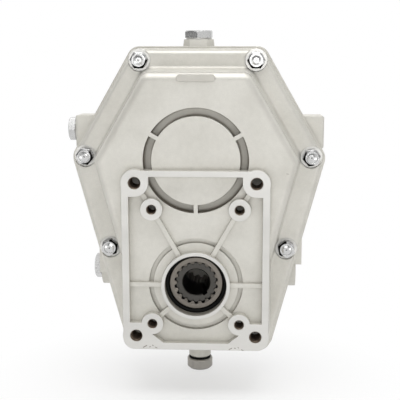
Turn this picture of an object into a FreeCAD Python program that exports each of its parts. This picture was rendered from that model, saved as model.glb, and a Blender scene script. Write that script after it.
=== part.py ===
import FreeCAD, Part
import math
import os

# A speed increasing gearbox for a tractor's power take-off shaft, in millimetres.
# The pump flange lies in the plane y = 0 and faces -Y. X is to the right as seen from the pump, Z is up,
# and the origin is the centre of the pump's pilot bore. The input shaft comes out of the back, along +Y.

# General clearances, and how far a form runs into the next or a cutter past a face
slide_gap = 0.05
free_gap = 0.3
through = 400.0
overlap = 1.0
turning_gap = 0.1
drill_point_slope = 0.58
same_place = 1e-4
skin_depth = 0.01

# Centre distance and gears
gear_module = 2.5
gear_teeth = 61
pinion_teeth = 21
pressure_angle = math.radians(20.0)
gear_backlash = 0.16
gear_width = 24.0
pinion_face_width = 27.0
root_depth_share = 1.25
centre_distance = gear_module * (gear_teeth + pinion_teeth) / 2.0
gear_tip_radius = gear_module * (gear_teeth + 2) / 2.0

# Walls of the rear housing, and the room that they leave round the large gear
housing_step = 2.0
housing_wall = 7.0
gear_room_above = 2.15
gear_room_beside = 4.85
wall_inset = housing_step + housing_wall

# Outline of the casing: a top line, two lines at 60 degrees, two at 75 degrees and a bottom line
upper_side_angle = math.radians(30.0)
lower_side_angle = math.radians(-15.0)
housing_top = centre_distance + gear_tip_radius + gear_room_above + wall_inset
housing_upper_side = (centre_distance * math.sin(upper_side_angle) + gear_tip_radius + gear_room_beside
                      + wall_inset)
housing_lower_side = 77.7
housing_bottom = -70.0
housing_corner_radii = (10.0, 12.0, 14.0)
least_corner_radius = 1.0
cover_step = 1.6

# Depths of the casing, measured back from the pump flange
recess_depth = 6.5
cover_flange_front = 38.0
cover_band_front = 34.0
cover_back = 46.0
gasket_thickness = 0.5
housing_front = cover_back + gasket_thickness
housing_flange_back = 56.5
housing_inner_back = 80.0
housing_back = 88.0

# Crown of the cover, the raised part in front of its bolting flange
crown_inset_top = 19.1
crown_inset_upper = 20.25
crown_inset_lower = 23.3
crown_bottom = -45.0
crown_corner_radii = (10.0, 9.0, 9.0)
crown_draft = 2.6
crown_shoulder = 7.0
crown_step = 0.6
crown_edge_radius = 6.6
crown_foot_radius = 2.4
crown_wall = 7.0
cover_edge_radius = 0.8

# Raised band of the bolting flange, between the screw heads
band_step = 1.3
band_edge_radius = 3.8

# Pump flange
flange_width = 120.0
flange_top = 95.2
flange_bottom = -54.5
flange_corner_radius = 9.5
flange_rail = 5.7
flange_top_rail = 4.8
flange_draft = 2.5
pocket_radius = 2.0

# Standard pump patterns on the flange: the larger takes M10 screws, the smaller M8
pilot_diameter = 50.8
pilot_depth = 9.5
pilot_rim_diameter = 56.4
large_spacing_x = 98.4
large_spacing_z = 128.1
large_lower_z = -42.9
large_thread = 10.0
large_thread_depth = 22.0
large_pad_radius = 11.2
large_pad_end_inset = 1.5
large_boss_end = 3.0
lower_pad_slant = 9.0
small_spacing_x = 71.4
small_spacing_z = 96.1
small_lower_z = -32.5
small_thread = 8.0
small_thread_depth = 18.0
small_boss_radius = 9.0
small_boss_end = 2.0
thread_chamfer = 0.4
hole_end_wall = 4.0

# Ribs and ring grooves of the cover
rib_width = 3.8
rib_depth = 3.6
lower_groove_inner = 35.0
lower_groove_outer = 38.6
lower_groove_depth = 3.2
upper_groove_inner = 36.0
upper_groove_outer = 42.8
upper_groove_depth = 9.0
groove_rib_width = 3.4
groove_rib_root = 2.0
groove_rib_angles = (30.0, 150.0, 270.0)

# Bare raised pad at the top of the crown
plate_width = 30.5
plate_height = 5.6
plate_inset = 4.6
plate_corner_radius = 2.4
plate_relief = 0.9

# Cover screws
bolt_diameter = 8.0
bolt_hole_diameter = 9.0
bolt_head_flats = 13.0
bolt_head_height = 5.3
bolt_head_chamfer = 2.0
bolt_groove_outer = 4.6
bolt_groove_inner = 4.0
bolt_groove_depth = 0.5
bolt_pit_radius = 0.7
bolt_pit_depth = 0.6
bolt_dish_bend_out = 0.75
bolt_dish_bend_down = 0.3
bolt_length = 28.0
bolt_end_chamfer = 0.9
bolt_end_gap = 2.0
bolt_pad_radius = 9.2
bolt_pad_height = 1.0
bolt_boss_radius = 9.0
bolt_boss_depth = 24.0
spring_washer_thickness = 2.0
spring_washer_outer = 14.0
spring_washer_slit = 1.2
spring_washer_slit_start = 2.0
spring_washer_slit_turn = 25.0
bolt_top_insets = (11.43, 10.7)
bolt_side_insets = (10.96, 12.85)
bolt_lower_inset = 11.69
bolt_lower_along = 42.64
bolt_turns = (0.0, -10.0, 20.0)
tie_bolt_length = 58.0
tie_bolt_x = 46.0
tie_bolt_rise = 14.0
tie_washer_turn = 30.0

# Dowel pins
dowel_diameter = 6.0
dowel_length = 13.0
dowel_chamfer = 0.6
dowel_cover_depth = 5.0
dowel_inset = 5.4
dowel_along = (84.0, 82.8)

# Rear housing
housing_draft = 0.8
housing_back_radius = 5.0
lug_reach = 106.2
lug_depth = 30.0
lug_top = 134.0
lug_bottom = 106.5
lug_front = 57.5
lug_back = 85.0
lug_edge_radius = 2.0
lug_draft = 1.0
level_plug_z = 121.2
side_hole_depth = 36.0
side_boss_reach = 86.0
side_boss_depth = 26.0
blind_boss_reach = 84.3
seat_gap = 1.2
side_boss_radius = 16.0
side_boss_z = -2.0
ear_thickness = 10.0
ear_reach = (-86.0, 88.6)
ear_bottom = (-1.8, 7.4)
ear_height = 30.0
ear_root = 70.0
ear_proud = 12.0
filler_boss_width = 26.0
filler_boss_front_flat = 14.5
filler_boss_top = 198.0
filler_boss_root = 8.0
filler_boss_lean = 0.9
filler_hole_root = 16.0
drain_boss_radius = 9.8
drain_boss_bottom = -84.0
drain_boss_y = 69.0
drain_boss_edge = 1.6
drain_boss_root = 10.0
drain_hole_root = 14.0
drain_thread = 10.3
back_rib_width = 7.0
back_rib_height = 7.0
back_rib_end_gap = 14.0
fixing_thread = 10.0
fixing_thread_depth = 14.0
fixing_circle_radius = 58.0
fixing_angles = (45.0, 135.0, 225.0, 315.0)
fixing_boss_radius = 10.0
fixing_boss_height = 12.0

# Oil plugs
plug_flats = 22.0
plug_head_height = 6.0
plug_thread = 16.6
plug_thread_length = 10.0
plug_chamfer = 2.2
plug_washer_outer = 21.6
plug_washer_thickness = 1.4
filler_plug_turn = 27.5
side_plug_flats = 19.0
side_plug_thread = 13.2
side_plug_washer_outer = 18.6
level_plug_turn = 30.0
lower_side_plug_turn = 5.0
drain_head_radius = 11.3
drain_head_height = 9.6
drain_head_chamfer = 1.7
drain_head_shoulder = 1.2
drain_socket_flats = 10.0
drain_socket_depth = 5.5
drain_socket_chamfer = 0.1
drain_washer_outer = 9.7
drain_washer_thickness = 1.6

# Bearings: bore, outside diameter, width, ball diameter, number of balls
input_bearing = (35.0, 72.0, 17.0, 11.1, 9)
output_bearing = (45.0, 75.0, 16.0, 8.7, 12)
race_gap = 0.04
race_shoulder = 0.2
cage_thickness = 2.2
cage_side = 1.2
cage_gap = 0.12
ring_chamfer = 1.0

# Places of the bearings along the shafts
input_front_bearing_y = 21.0
input_rear_bearing_y = 77.0
output_front_bearing_y = 18.0
output_rear_bearing_y = 77.5
bearing_boss_wall = 8.0
bearing_end_gap = 0.5
input_seat_shoulder = 4.0
input_seat_relief = 3.0
output_seat_shoulder = 3.5
bore_cut_front = 60.0
input_mouth_chamfer = 1.0
input_boss_back = 106.0
output_boss_back = 101.5
boss_edge_radius = 2.5

# Oil seals
input_seal_outer = 72.0
input_seal_width = 7.0
input_seal_inset = 0.8
output_seal_outer = 62.0
output_seal_width = 7.0
seal_shell = 2.6
seal_web = 2.2
seal_lip = 2.0
seal_face_recess = 0.5
seal_face_inner = 1.6
seal_face_slope = 1.4
seal_neck_outer = 1.6
seal_neck_inner = 0.6
seal_neck_drop = 1.0
seal_lip_back = 0.4
seal_lip_bend = 1.0
seal_lip_nose = 0.7
seal_lip_nose_inset = 0.6
seal_edge_share = 0.62
seal_edge_slope = 0.9
seal_dust_gap = 0.2
seal_dust_edge = 1.0
garter_radius = 0.8
garter_share = 0.66

# Circlips
bore_clip_thickness = 2.5
bore_clip_groove = 75.0
bore_clip_width = 4.6
shaft_clip_thickness = 1.75
shaft_clip_groove = 37.5
shaft_clip_width = 3.6
clip_opening = 7.0
clip_ear = 3.4
clip_ear_hole = 1.1
bore_clip_ear_overlap = 0.4
shaft_clip_ear_overlap = 0.8
shaft_clip_hole_rise = 0.6

# Input shaft, with the standard six-tooth spline of 1 3/8 inch
shaft_journal = 35.0
shaft_gear_seat = 40.0
shaft_collar = 48.0
shaft_front = 19.5
shaft_chamfer = 1.5
gear_front = 50.0
stub_length = 76.0
stub_plain_length = 4.0
stub_major_radius = 17.4
stub_minor_radius = 14.8
stub_tooth_half = 4.3
stub_teeth = 6
stub_groove_radius = 6.9
stub_groove_bottom = 14.6
stub_groove_from_end = 38.0
stub_chamfer = 2.2
stub_chamfer_slope = 1.6
centre_hole_radius = 2.5
centre_hole_depth = 9.0
centre_cone_radius = 5.5
centre_cone_depth = 4.0
gear_web_thickness = 12.0
gear_hub_radius = 32.0
gear_rim_inner = 64.0
gear_web_hole_radius = 10.0
gear_web_hole_count = 6
gear_web_hole_circle = 48.0
key_width = 12.0
key_height = 8.0
key_length = 22.0
key_seat_depth = 5.0

# Hollow pinion shaft and the pump coupling
pinion_front = 10.0
pinion_journal = 45.0
pinion_collar_radius = 25.5
pinion_chamfer = 0.95
pinion_face_front = 48.5
spline_module = 1.9
spline_teeth = 18
spline_flank = math.tan(math.radians(30.0))
spline_root_radius = 18.1
spline_tip_radius = 16.0
spline_mouth_grow = 0.3
spline_mouth_depth = 1.4
coupling_front = 12.4
coupling_length = 45.0
coupling_outer_radius = 17.6
coupling_root_radius = 15.2
coupling_flank_gap = 0.06
coupling_taper_length = 28.0
coupling_taper_radius = 11.1
coupling_taper_rate = 1.0 / 16.0
coupling_nut_radius = 13.0
coupling_chamfer = 1.0
coupling_mouth_grow = 1.8
coupling_mouth_depth = 0.8
coupling_keyway_width = 4.0
coupling_keyway_depth = 1.8
coupling_keyway_angle = -52.0
stop_ring_thickness = 1.2
stop_ring_groove_radius = 19.0
stop_ring_inner_radius = 14.6
stop_ring_opening = 5.0


def vec(x, y, z):
    return FreeCAD.Vector(x, y, z)


Y_AXIS = vec(0, 1, 0)


def disc(x, z, radius, front, back):
    """A round bar along Y."""
    return Part.makeCylinder(radius, back - front, vec(x, front, z), Y_AXIS)


def bar(start, end, radius):
    """A round bar between two points."""
    way = end - start
    return Part.makeCylinder(radius, way.Length, start, way)


def block(low, high):
    """A box between two corners."""
    return Part.makeBox(high[0] - low[0], high[1] - low[1], high[2] - low[2], vec(*low))


def join(shapes):
    whole = shapes[0]
    if len(shapes) > 1:
        whole = whole.multiFuse(shapes[1:])
    return whole.removeSplitter()


def turned(section, x, z):
    """A turned ring or bar: its section is a list of (radius, y) corners, spun about the Y axis at x, z."""
    corners = [vec(x + r, y, z) for r, y in section]
    face = Part.Face(Part.makePolygon(corners + corners[:1]))
    return face.revolve(vec(x, 0, z), Y_AXIS, 360)


def outline(corners, radii, y):
    """A closed outline in the plane at depth y, with each corner rounded to its own radius."""
    edges = []
    count = len(corners)
    starts = []
    ends = []
    for i in range(count):
        here = vec(corners[i][0], y, corners[i][1])
        before = vec(corners[i - 1][0], y, corners[i - 1][1])
        after = vec(corners[(i + 1) % count][0], y, corners[(i + 1) % count][1])
        back = (before - here).normalize()
        on = (after - here).normalize()
        half = back.getAngle(on) / 2.0
        cut = radii[i] / math.tan(half)
        middle = (back + on).normalize() * (radii[i] / math.sin(half) - radii[i])
        starts.append(here + back * cut)
        ends.append(here + on * cut)
        edges.append(Part.Arc(starts[i], here + middle, ends[i]).toShape())
    for i in range(count):
        edges.append(Part.LineSegment(ends[i], starts[(i + 1) % count]).toShape())
    return Part.Wire(Part.sortEdges(edges)[0])


def side_cross(first_angle, first_reach, second_angle, second_reach):
    """Where two straight sides meet; a side is the line at a distance from the origin, across an angle."""
    a, b = math.cos(first_angle), math.sin(first_angle)
    c, d = math.cos(second_angle), math.sin(second_angle)
    det = a * d - b * c
    return ((first_reach * d - second_reach * b) / det, (a * second_reach - c * first_reach) / det)


def casing_corners(top, upper_side, lower_side, bottom):
    """The six corners of the casing's outline, from its lines on the right, mirrored to the left."""
    up = math.radians(90.0)
    right = [
        side_cross(upper_side_angle, upper_side, up, top),
        side_cross(upper_side_angle, upper_side, lower_side_angle, lower_side),
        side_cross(lower_side_angle, lower_side, up, bottom),
    ]
    return right + [(-x, z) for x, z in reversed(right)]


def casing_outline(size, radii, grow, y):
    """The casing's outline at depth y, moved outwards by grow, and inwards where grow is negative."""
    top, upper_side, lower_side, bottom = size
    corners = casing_corners(top + grow, upper_side + grow, lower_side + grow, bottom - grow)
    both = list(radii) + list(reversed(radii))
    return outline(corners, [max(r + grow, least_corner_radius) for r in both], y)


housing_size = (housing_top, housing_upper_side, housing_lower_side, housing_bottom)
crown_size = (housing_top - crown_inset_top, housing_upper_side - crown_inset_upper,
              housing_lower_side - crown_inset_lower, crown_bottom)


def plate(wire, back):
    """A flat plate from a wire at its front to a depth."""
    return Part.Face(wire).extrude(vec(0, back - wire.BoundBox.YMin, 0))


def tapered(front_wire, back_wire):
    """A solid with straight drafted sides between two like outlines."""
    return Part.makeLoft([front_wire, back_wire], True, True)


def rectangle(half_width, bottom, top, radius, y):
    corners = ((half_width, top), (half_width, bottom), (-half_width, bottom), (-half_width, top))
    return outline(corners, [radius] * 4, y)


def edges_in_plane(shape, y):
    """The edges that lie wholly at depth y."""
    found = []
    for edge in shape.Edges:
        box = edge.BoundBox
        if abs(box.YMin - y) < same_place and abs(box.YMax - y) < same_place:
            found.append(edge)
    return found


def rib(start, end, width, front, back):
    """A straight rib between two points (x, z)."""
    way = vec(end[0] - start[0], 0, end[1] - start[1])
    body = block((0, front, -width / 2.0), (way.Length, back, width / 2.0))
    body.rotate(vec(0, 0, 0), Y_AXIS, -math.degrees(math.atan2(way.z, way.x)))
    body.translate(vec(start[0], 0, start[1]))
    return body


def polar(radius, degrees, x=0.0, z=0.0):
    angle = math.radians(degrees)
    return (x + radius * math.cos(angle), z + radius * math.sin(angle))


def lobed_wire(count, low, high, half_low, half_high, phase, y):
    """A round profile with straight-sided teeth: half_low and half_high are the half widths of a tooth."""
    pitch = 2.0 * math.pi / count
    corners = []
    for i in range(count):
        middle = phase + i * pitch
        for radius, half in ((low, -half_low), (high, -half_high), (high, half_high), (low, half_low)):
            angle = middle + math.asin(half / radius)
            corners.append(vec(radius * math.cos(angle), y, radius * math.sin(angle)))
    return Part.makePolygon(corners + corners[:1])


def involute(angle):
    return math.tan(angle) - angle


def gear_wire(teeth, phase, y):
    """The outline of a spur gear about the Y axis, its flanks arcs through three points of the involute."""
    pitch_radius = gear_module * teeth / 2.0
    base = pitch_radius * math.cos(pressure_angle)
    tip = pitch_radius + gear_module
    root = pitch_radius - root_depth_share * gear_module
    low = max(base, root)
    thick = math.pi / (2 * teeth) - gear_backlash / (4.0 * pitch_radius) + involute(pressure_angle)

    def flank(radius, side, middle):
        angle = middle + side * (thick - involute(math.acos(min(1.0, base / radius))))
        return vec(radius * math.cos(angle), y, radius * math.sin(angle))

    pitch = 2.0 * math.pi / teeth
    edges = []
    for i in range(teeth):
        middle = phase + i * pitch
        half_way = (low + tip) / 2.0
        rise = [flank(r, -1, middle) for r in (low, half_way, tip)]
        fall = [flank(r, 1, middle) for r in (tip, half_way, low)]
        following = flank(low, -1, middle + pitch)
        foot = fall[2] * 1.0
        next_foot = following * 1.0
        edges.append(Part.Arc(*rise).toShape())
        edges.append(Part.LineSegment(rise[2], fall[0]).toShape())
        edges.append(Part.Arc(*fall).toShape())
        if low > root:
            foot = root_point(fall[2], root)
            next_foot = root_point(following, root)
            edges.append(Part.LineSegment(fall[2], foot).toShape())
        edges.append(Part.LineSegment(foot, next_foot).toShape())
        if low > root:
            edges.append(Part.LineSegment(next_foot, following).toShape())
    return Part.Wire(edges)


def root_point(point, root):
    """The point straight below a flank's foot, on the root circle."""
    away = math.hypot(point.x, point.z)
    return vec(point.x * root / away, point.y, point.z * root / away)


def at_input(shape):
    """Moves a shape that was made about the Y axis up to the input shaft's axis."""
    shape.translate(vec(0, 0, centre_distance))
    return shape


def mirrored_places():
    """The six front screws: x, z and the turn of the hexagon."""
    places = []
    for x, z, turn in right_places:
        places.append((x, z, 180.0 - turn))
        places.append((-x, z, turn))
    return places


def bolt_axes():
    """The axes of the six front screws: x and z."""
    return [place[:2] for place in mirrored_places()]


large_upper_z = large_lower_z + large_spacing_z
small_upper_z = small_lower_z + small_spacing_z
large_holes = [(s * large_spacing_x / 2.0, z) for s in (-1, 1) for z in (large_upper_z, large_lower_z)]
small_holes = [(s * small_spacing_x / 2.0, z) for s in (-1, 1) for z in (small_upper_z, small_lower_z)]
tie_places = [(side * tie_bolt_x, housing_bottom + tie_bolt_rise) for side in (-1, 1)]
cover_grow = -cover_step
filler_boss_y = housing_front + filler_boss_width / 2.0
lug_y = (lug_front + lug_back) / 2.0


def wall_point(side, angle, reach, along):
    """A point on one of the casing's side lines, by its distance from the origin and its place along it."""
    x = reach * math.cos(angle) - along * math.sin(angle)
    z = reach * math.sin(angle) + along * math.cos(angle)
    return (side * x, z)


upright = math.radians(90.0)
right_places = [place + (turn,) for place, turn in zip((
    side_cross(upper_side_angle, housing_upper_side - bolt_top_insets[0], upright,
               housing_top - bolt_top_insets[1]),
    side_cross(upper_side_angle, housing_upper_side - bolt_side_insets[0], lower_side_angle,
               housing_lower_side - bolt_side_insets[1]),
    wall_point(1, lower_side_angle, housing_lower_side - bolt_lower_inset, bolt_lower_along)), bolt_turns)]
dowel_places = (wall_point(1, upper_side_angle, housing_upper_side - dowel_inset, dowel_along[0]),
                wall_point(-1, lower_side_angle, housing_lower_side - dowel_inset, dowel_along[1]))


def flange_relief():
    """The frame, pads, bosses and ribs that stand on the cover's face and carry the pump."""
    half = flange_width / 2.0
    floor = recess_depth + upper_groove_depth
    frame = plate(rectangle(half, flange_bottom, flange_top, flange_corner_radius, 0.0), floor)
    inner = rectangle(half - flange_rail, flange_bottom + flange_rail, flange_top - flange_top_rail,
                      pocket_radius, 0.0)
    parts = [frame.cut(plate(inner, floor))]
    for x, z in large_holes:
        side = math.copysign(1.0, x)
        top = z > 0
        end = flange_top if top else flange_bottom
        low_z, high_z = min(z, end), max(z, end)
        edge = side * (half - pocket_radius)
        parts.append(disc(x, z, large_pad_radius, 0, recess_depth))
        inset = large_pad_end_inset if top else -large_pad_end_inset
        parts.append(block((min(x - side * large_pad_radius, x), 0, min(z, end - inset)),
                           (max(x - side * large_pad_radius, x), recess_depth, max(z, end - inset))))
        low_x, high_x = min(x, edge), max(x, edge)
        pad_low = low_z - (large_pad_radius if top else 0)
        pad_high = high_z + (0 if top else large_pad_radius)
        corner = block((low_x, 0, pad_low), (high_x, recess_depth, pad_high))
        parts.append(corner.common(plate(rectangle(half, flange_bottom, flange_top,
                                                   flange_corner_radius, 0.0), recess_depth)))
    for x, z in small_holes:
        parts.append(disc(x, z, small_boss_radius, 0, recess_depth))
        parts.append(rib((0, 0), (x, z), rib_width, rib_depth, floor))
    for side in (-1, 1):
        large_x = side * large_spacing_x / 2.0
        small_x = side * small_spacing_x / 2.0
        parts.append(rib((small_x, small_upper_z), (large_x, large_upper_z), rib_width, rib_depth, floor))
        parts.append(rib((0, 0), (side * (half - overlap), 0), rib_width, rib_depth, floor))
        parts.append(lower_corner_fill(side))
    parts.append(disc(0, 0, pilot_rim_diameter / 2.0, 0, floor))
    return join(parts)


def lower_corner_fill(side):
    """The pad that joins the two lower bosses to the side rail and, by a slanted edge, to the bottom rail."""
    small_x = small_spacing_x / 2.0
    edge = flange_width / 2.0 - pocket_radius
    boss_low = small_lower_z - small_boss_radius
    pad_top = large_lower_z + large_pad_radius
    rail_top = flange_bottom + flange_rail
    corners = ((small_x, pad_top), (small_x, boss_low), (small_x - lower_pad_slant, rail_top),
               (small_x - lower_pad_slant, rail_top - overlap), (edge, rail_top - overlap), (edge, pad_top))
    points = [vec(side * x, 0, z) for x, z in corners]
    return Part.Face(Part.makePolygon(points + points[:1])).extrude(vec(0, recess_depth, 0))


def thread_hole(x, z, diameter, depth):
    """A tapped hole at its outside thread diameter, with a chamfered mouth and a drilled cone at its end."""
    r = diameter / 2.0
    section = ((0, -overlap), (r + thread_chamfer + overlap, -overlap), (r, thread_chamfer), (r, depth),
               (0, depth + r * drill_point_slope))
    return turned(section, x, z)


def cover_shell():
    """The cover's outer form: the bolting flange with its raised band, the crown and the pump flange base."""
    flange = plate(casing_outline(housing_size, housing_corner_radii, cover_grow, cover_flange_front),
                   cover_back)
    flange = flange.makeFillet(cover_edge_radius, edges_in_plane(flange, cover_flange_front))
    band = plate(casing_outline(housing_size, housing_corner_radii, cover_grow - band_step, cover_band_front),
                 cover_back)
    band = band.makeFillet(band_edge_radius, edges_in_plane(band, cover_band_front))
    deep = cover_flange_front + overlap
    shoulder = recess_depth + crown_shoulder
    crown = tapered(casing_outline(crown_size, crown_corner_radii, 0.0, shoulder),
                    casing_outline(crown_size, crown_corner_radii, crown_draft, deep))
    half = flange_width / 2.0
    share = recess_depth / cover_flange_front
    base = tapered(rectangle(half + flange_draft * share, flange_bottom - flange_draft * share,
                             flange_top, flange_corner_radius, recess_depth),
                   rectangle(half + flange_draft, flange_bottom - flange_draft, flange_top,
                             flange_corner_radius + flange_draft, deep))
    whole = join([band, crown])
    foot = [e for e in edges_in_plane(whole, cover_band_front) if inside_outline(e, deep)]
    whole = whole.makeFillet(crown_foot_radius, foot)
    face = plate(casing_outline(crown_size, crown_corner_radii, -crown_step, recess_depth),
                 shoulder + overlap)
    face = face.makeFillet(crown_edge_radius, edges_in_plane(face, recess_depth))
    bosses = [disc(x, z, bolt_pad_radius, cover_flange_front - bolt_pad_height, deep)
              for x, z in bolt_axes()]
    return join([whole, flange, face, base] + bosses)


def inside_outline(edge, depth):
    """Whether an edge lies within the crown's outline at its back."""
    spot = edge.valueAt((edge.FirstParameter + edge.LastParameter) / 2.0)
    room = Part.Face(casing_outline(crown_size, crown_corner_radii, crown_draft, depth))
    return room.isInside(vec(spot.x, depth, spot.z), skin_depth, True)


def front_cover():
    """The cover casting, with the pump flange, the crown and the front bearing bosses."""
    body = cover_shell()
    plate_centre = crown_size[0] - plate_inset
    pad = plate(rectangle(plate_width / 2.0, plate_centre - plate_height / 2.0,
                          plate_centre + plate_height / 2.0, plate_corner_radius,
                          recess_depth - plate_relief), recess_depth + crown_edge_radius)
    cavity = tapered(casing_outline(crown_size, crown_corner_radii, -crown_wall, recess_depth + crown_wall),
                     casing_outline(crown_size, crown_corner_radii, crown_draft - crown_wall, cover_back))
    body = body.cut(cavity).fuse(inner_bosses().common(hull_of_cover()))
    body = body.cut(ring_groove(0.0, lower_groove_inner, lower_groove_outer, lower_groove_depth))
    body = body.cut(ring_groove(centre_distance, upper_groove_inner, upper_groove_outer,
                                upper_groove_depth).cut(groove_ribs()))
    body = body.fuse([flange_relief(), pad])
    cuts = []
    for x, z in large_holes:
        cuts.append(thread_hole(x, z, large_thread, large_thread_depth))
    for x, z in small_holes:
        cuts.append(thread_hole(x, z, small_thread, small_thread_depth))
    for x, z in bolt_axes():
        cuts.append(disc(x, z, bolt_hole_diameter / 2.0, 0, cover_back + overlap))
        cuts.append(disc(x, z, bolt_pad_radius, 0, cover_flange_front - bolt_pad_height))
    for x, z in tie_places:
        depth = tie_bolt_length - (housing_back + spring_washer_thickness - cover_back)
        cuts.append(disc(x, z, bolt_diameter / 2.0 + slide_gap, cover_back - depth - free_gap,
                         cover_back + overlap))
    for x, z in dowel_places:
        cuts.append(disc(x, z, dowel_diameter / 2.0, cover_back - dowel_cover_depth - free_gap,
                         cover_back + overlap))
    cuts.append(front_bores())
    return body.cut(cuts).removeSplitter()


def hull_of_cover():
    """Everything inside the cover's outer skin, which keeps inner bosses from showing outside."""
    half = flange_width / 2.0
    crown = tapered(casing_outline(crown_size, crown_corner_radii, -overlap, recess_depth + overlap),
                    casing_outline(crown_size, crown_corner_radii, crown_draft - overlap, cover_back))
    base = plate(rectangle(half - overlap, flange_bottom + overlap, flange_top, flange_corner_radius,
                           recess_depth + overlap), cover_back)
    return crown.fuse(base)


def inner_bosses():
    """The bearing bosses and screw bosses inside the cover."""
    input_radius = input_bearing[1] / 2.0 + bearing_boss_wall
    output_radius = output_bearing[1] / 2.0 + bearing_boss_wall
    start = recess_depth + overlap
    parts = [
        disc(0, centre_distance, input_radius, start, input_front_bearing_y + input_bearing[2] + overlap),
        disc(0, 0, output_radius, start, output_front_bearing_y + output_bearing[2] + overlap),
    ]
    for x, z in large_holes:
        parts.append(disc(x, z, large_thread / 2.0 + hole_end_wall, start,
                          large_thread_depth + hole_end_wall + large_boss_end))
    for x, z in small_holes:
        parts.append(disc(x, z, small_thread / 2.0 + hole_end_wall, start,
                          small_thread_depth + hole_end_wall + small_boss_end))
    for x, z in tie_places:
        parts.append(disc(x, z, bolt_boss_radius, start, cover_back))
    return join(parts)


def ring_groove(z, inner, outer, depth):
    return disc(0, z, outer, recess_depth - overlap, recess_depth + depth).cut(
        disc(0, z, inner, 0, recess_depth + depth))


def groove_ribs():
    """The three ribs that cross the upper ring groove."""
    ribs = []
    for degrees in groove_rib_angles:
        start = polar(upper_groove_inner - groove_rib_root, degrees, 0, centre_distance)
        end = polar(upper_groove_outer + groove_rib_root, degrees, 0, centre_distance)
        ribs.append(rib(start, end, groove_rib_width, recess_depth, recess_depth + upper_groove_depth))
    return join(ribs)


def front_bores():
    """The pilot bore, the front seal's and bearing's seats, and the blind seat of the input bearing."""
    out_r = output_bearing[1] / 2.0
    seal_back = pilot_depth + output_seal_width + free_gap
    land = out_r - output_seat_shoulder
    section = ((0, -overlap), (pilot_diameter / 2.0, -overlap),
               (pilot_diameter / 2.0, pilot_depth), (output_seal_outer / 2.0, pilot_depth),
               (output_seal_outer / 2.0, seal_back), (land, seal_back),
               (land, output_front_bearing_y), (out_r, output_front_bearing_y),
               (out_r, cover_back), (0, cover_back))
    in_r = input_bearing[1] / 2.0
    end = input_front_bearing_y - input_seat_relief
    blind = ((0, end), (in_r - input_seat_shoulder, end),
             (in_r - input_seat_shoulder, input_front_bearing_y), (in_r, input_front_bearing_y),
             (in_r, cover_back), (0, cover_back))
    return turned(section, 0, 0).fuse(turned(blind, 0, centre_distance))


def housing_bosses():
    """The lugs, ears, side bosses, filler boss and drain boss on the outside of the rear housing."""
    parts = []
    for side in (-1, 1):
        parts.append(side_lug(side))
        reach = side_boss_reach if side < 0 else blind_boss_reach
        parts.append(bar(vec(side * (side_boss_reach - side_boss_depth), lug_y, side_boss_z),
                         vec(side * reach, lug_y, side_boss_z), side_boss_radius))
    for reach, low in zip(ear_reach, ear_bottom):
        inner_x = math.copysign(ear_root, reach)
        parts.append(block((min(inner_x, reach), housing_front, low),
                           (max(inner_x, reach), housing_front + ear_thickness, low + ear_height)).common(
            plate(casing_outline(housing_size, housing_corner_radii, ear_proud, housing_front),
                  housing_flange_back)))
    parts.append(filler_boss())
    parts.append(drain_boss())
    return parts


def side_lug(side):
    """A drafted block beside the housing, at the level of its widest corners."""
    inner_x = side * (lug_reach - lug_depth)

    def section(y, draft):
        points = [vec(inner_x, y, lug_bottom + draft), vec(side * lug_reach, y, lug_bottom + draft),
                  vec(side * lug_reach, y, lug_top - draft), vec(inner_x, y, lug_top - draft)]
        return Part.makePolygon(points + points[:1])

    lug = tapered(section(lug_front, 0.0), section(lug_back, lug_draft))
    ends = [e for e in lug.Edges if abs(e.CenterOfMass.x - side * lug_reach) < same_place]
    return lug.makeFillet(lug_edge_radius, ends)


def filler_boss():
    """The boss on top, a square with cut corners that leans in towards its top."""
    def ring(grow, z):
        half = filler_boss_width / 2.0 + grow
        flat = filler_boss_front_flat / 2.0
        y = filler_boss_y
        corners = ((flat, -half), (half, -flat), (half, flat), (flat, half),
                   (-flat, half), (-half, flat), (-half, -flat), (-flat, -half))
        points = [vec(a, y + b, z) for a, b in corners]
        return Part.makePolygon(points + points[:1])

    boss = Part.makeLoft([ring(filler_boss_lean, housing_top - filler_boss_root),
                          ring(-filler_boss_lean, filler_boss_top)], True, True)
    return boss.common(block((-through, housing_front, -through), (through, through, through)))


def drain_boss():
    """The round boss under the housing that the drain plug screws into."""
    boss = Part.makeCylinder(drain_boss_radius, -drain_boss_bottom + housing_bottom + drain_boss_root,
                             vec(0, drain_boss_y, drain_boss_bottom), vec(0, 0, 1))
    low = [e for e in boss.Edges if abs(e.BoundBox.ZMax - drain_boss_bottom) < same_place]
    return boss.makeFillet(drain_boss_edge, low)


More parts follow.
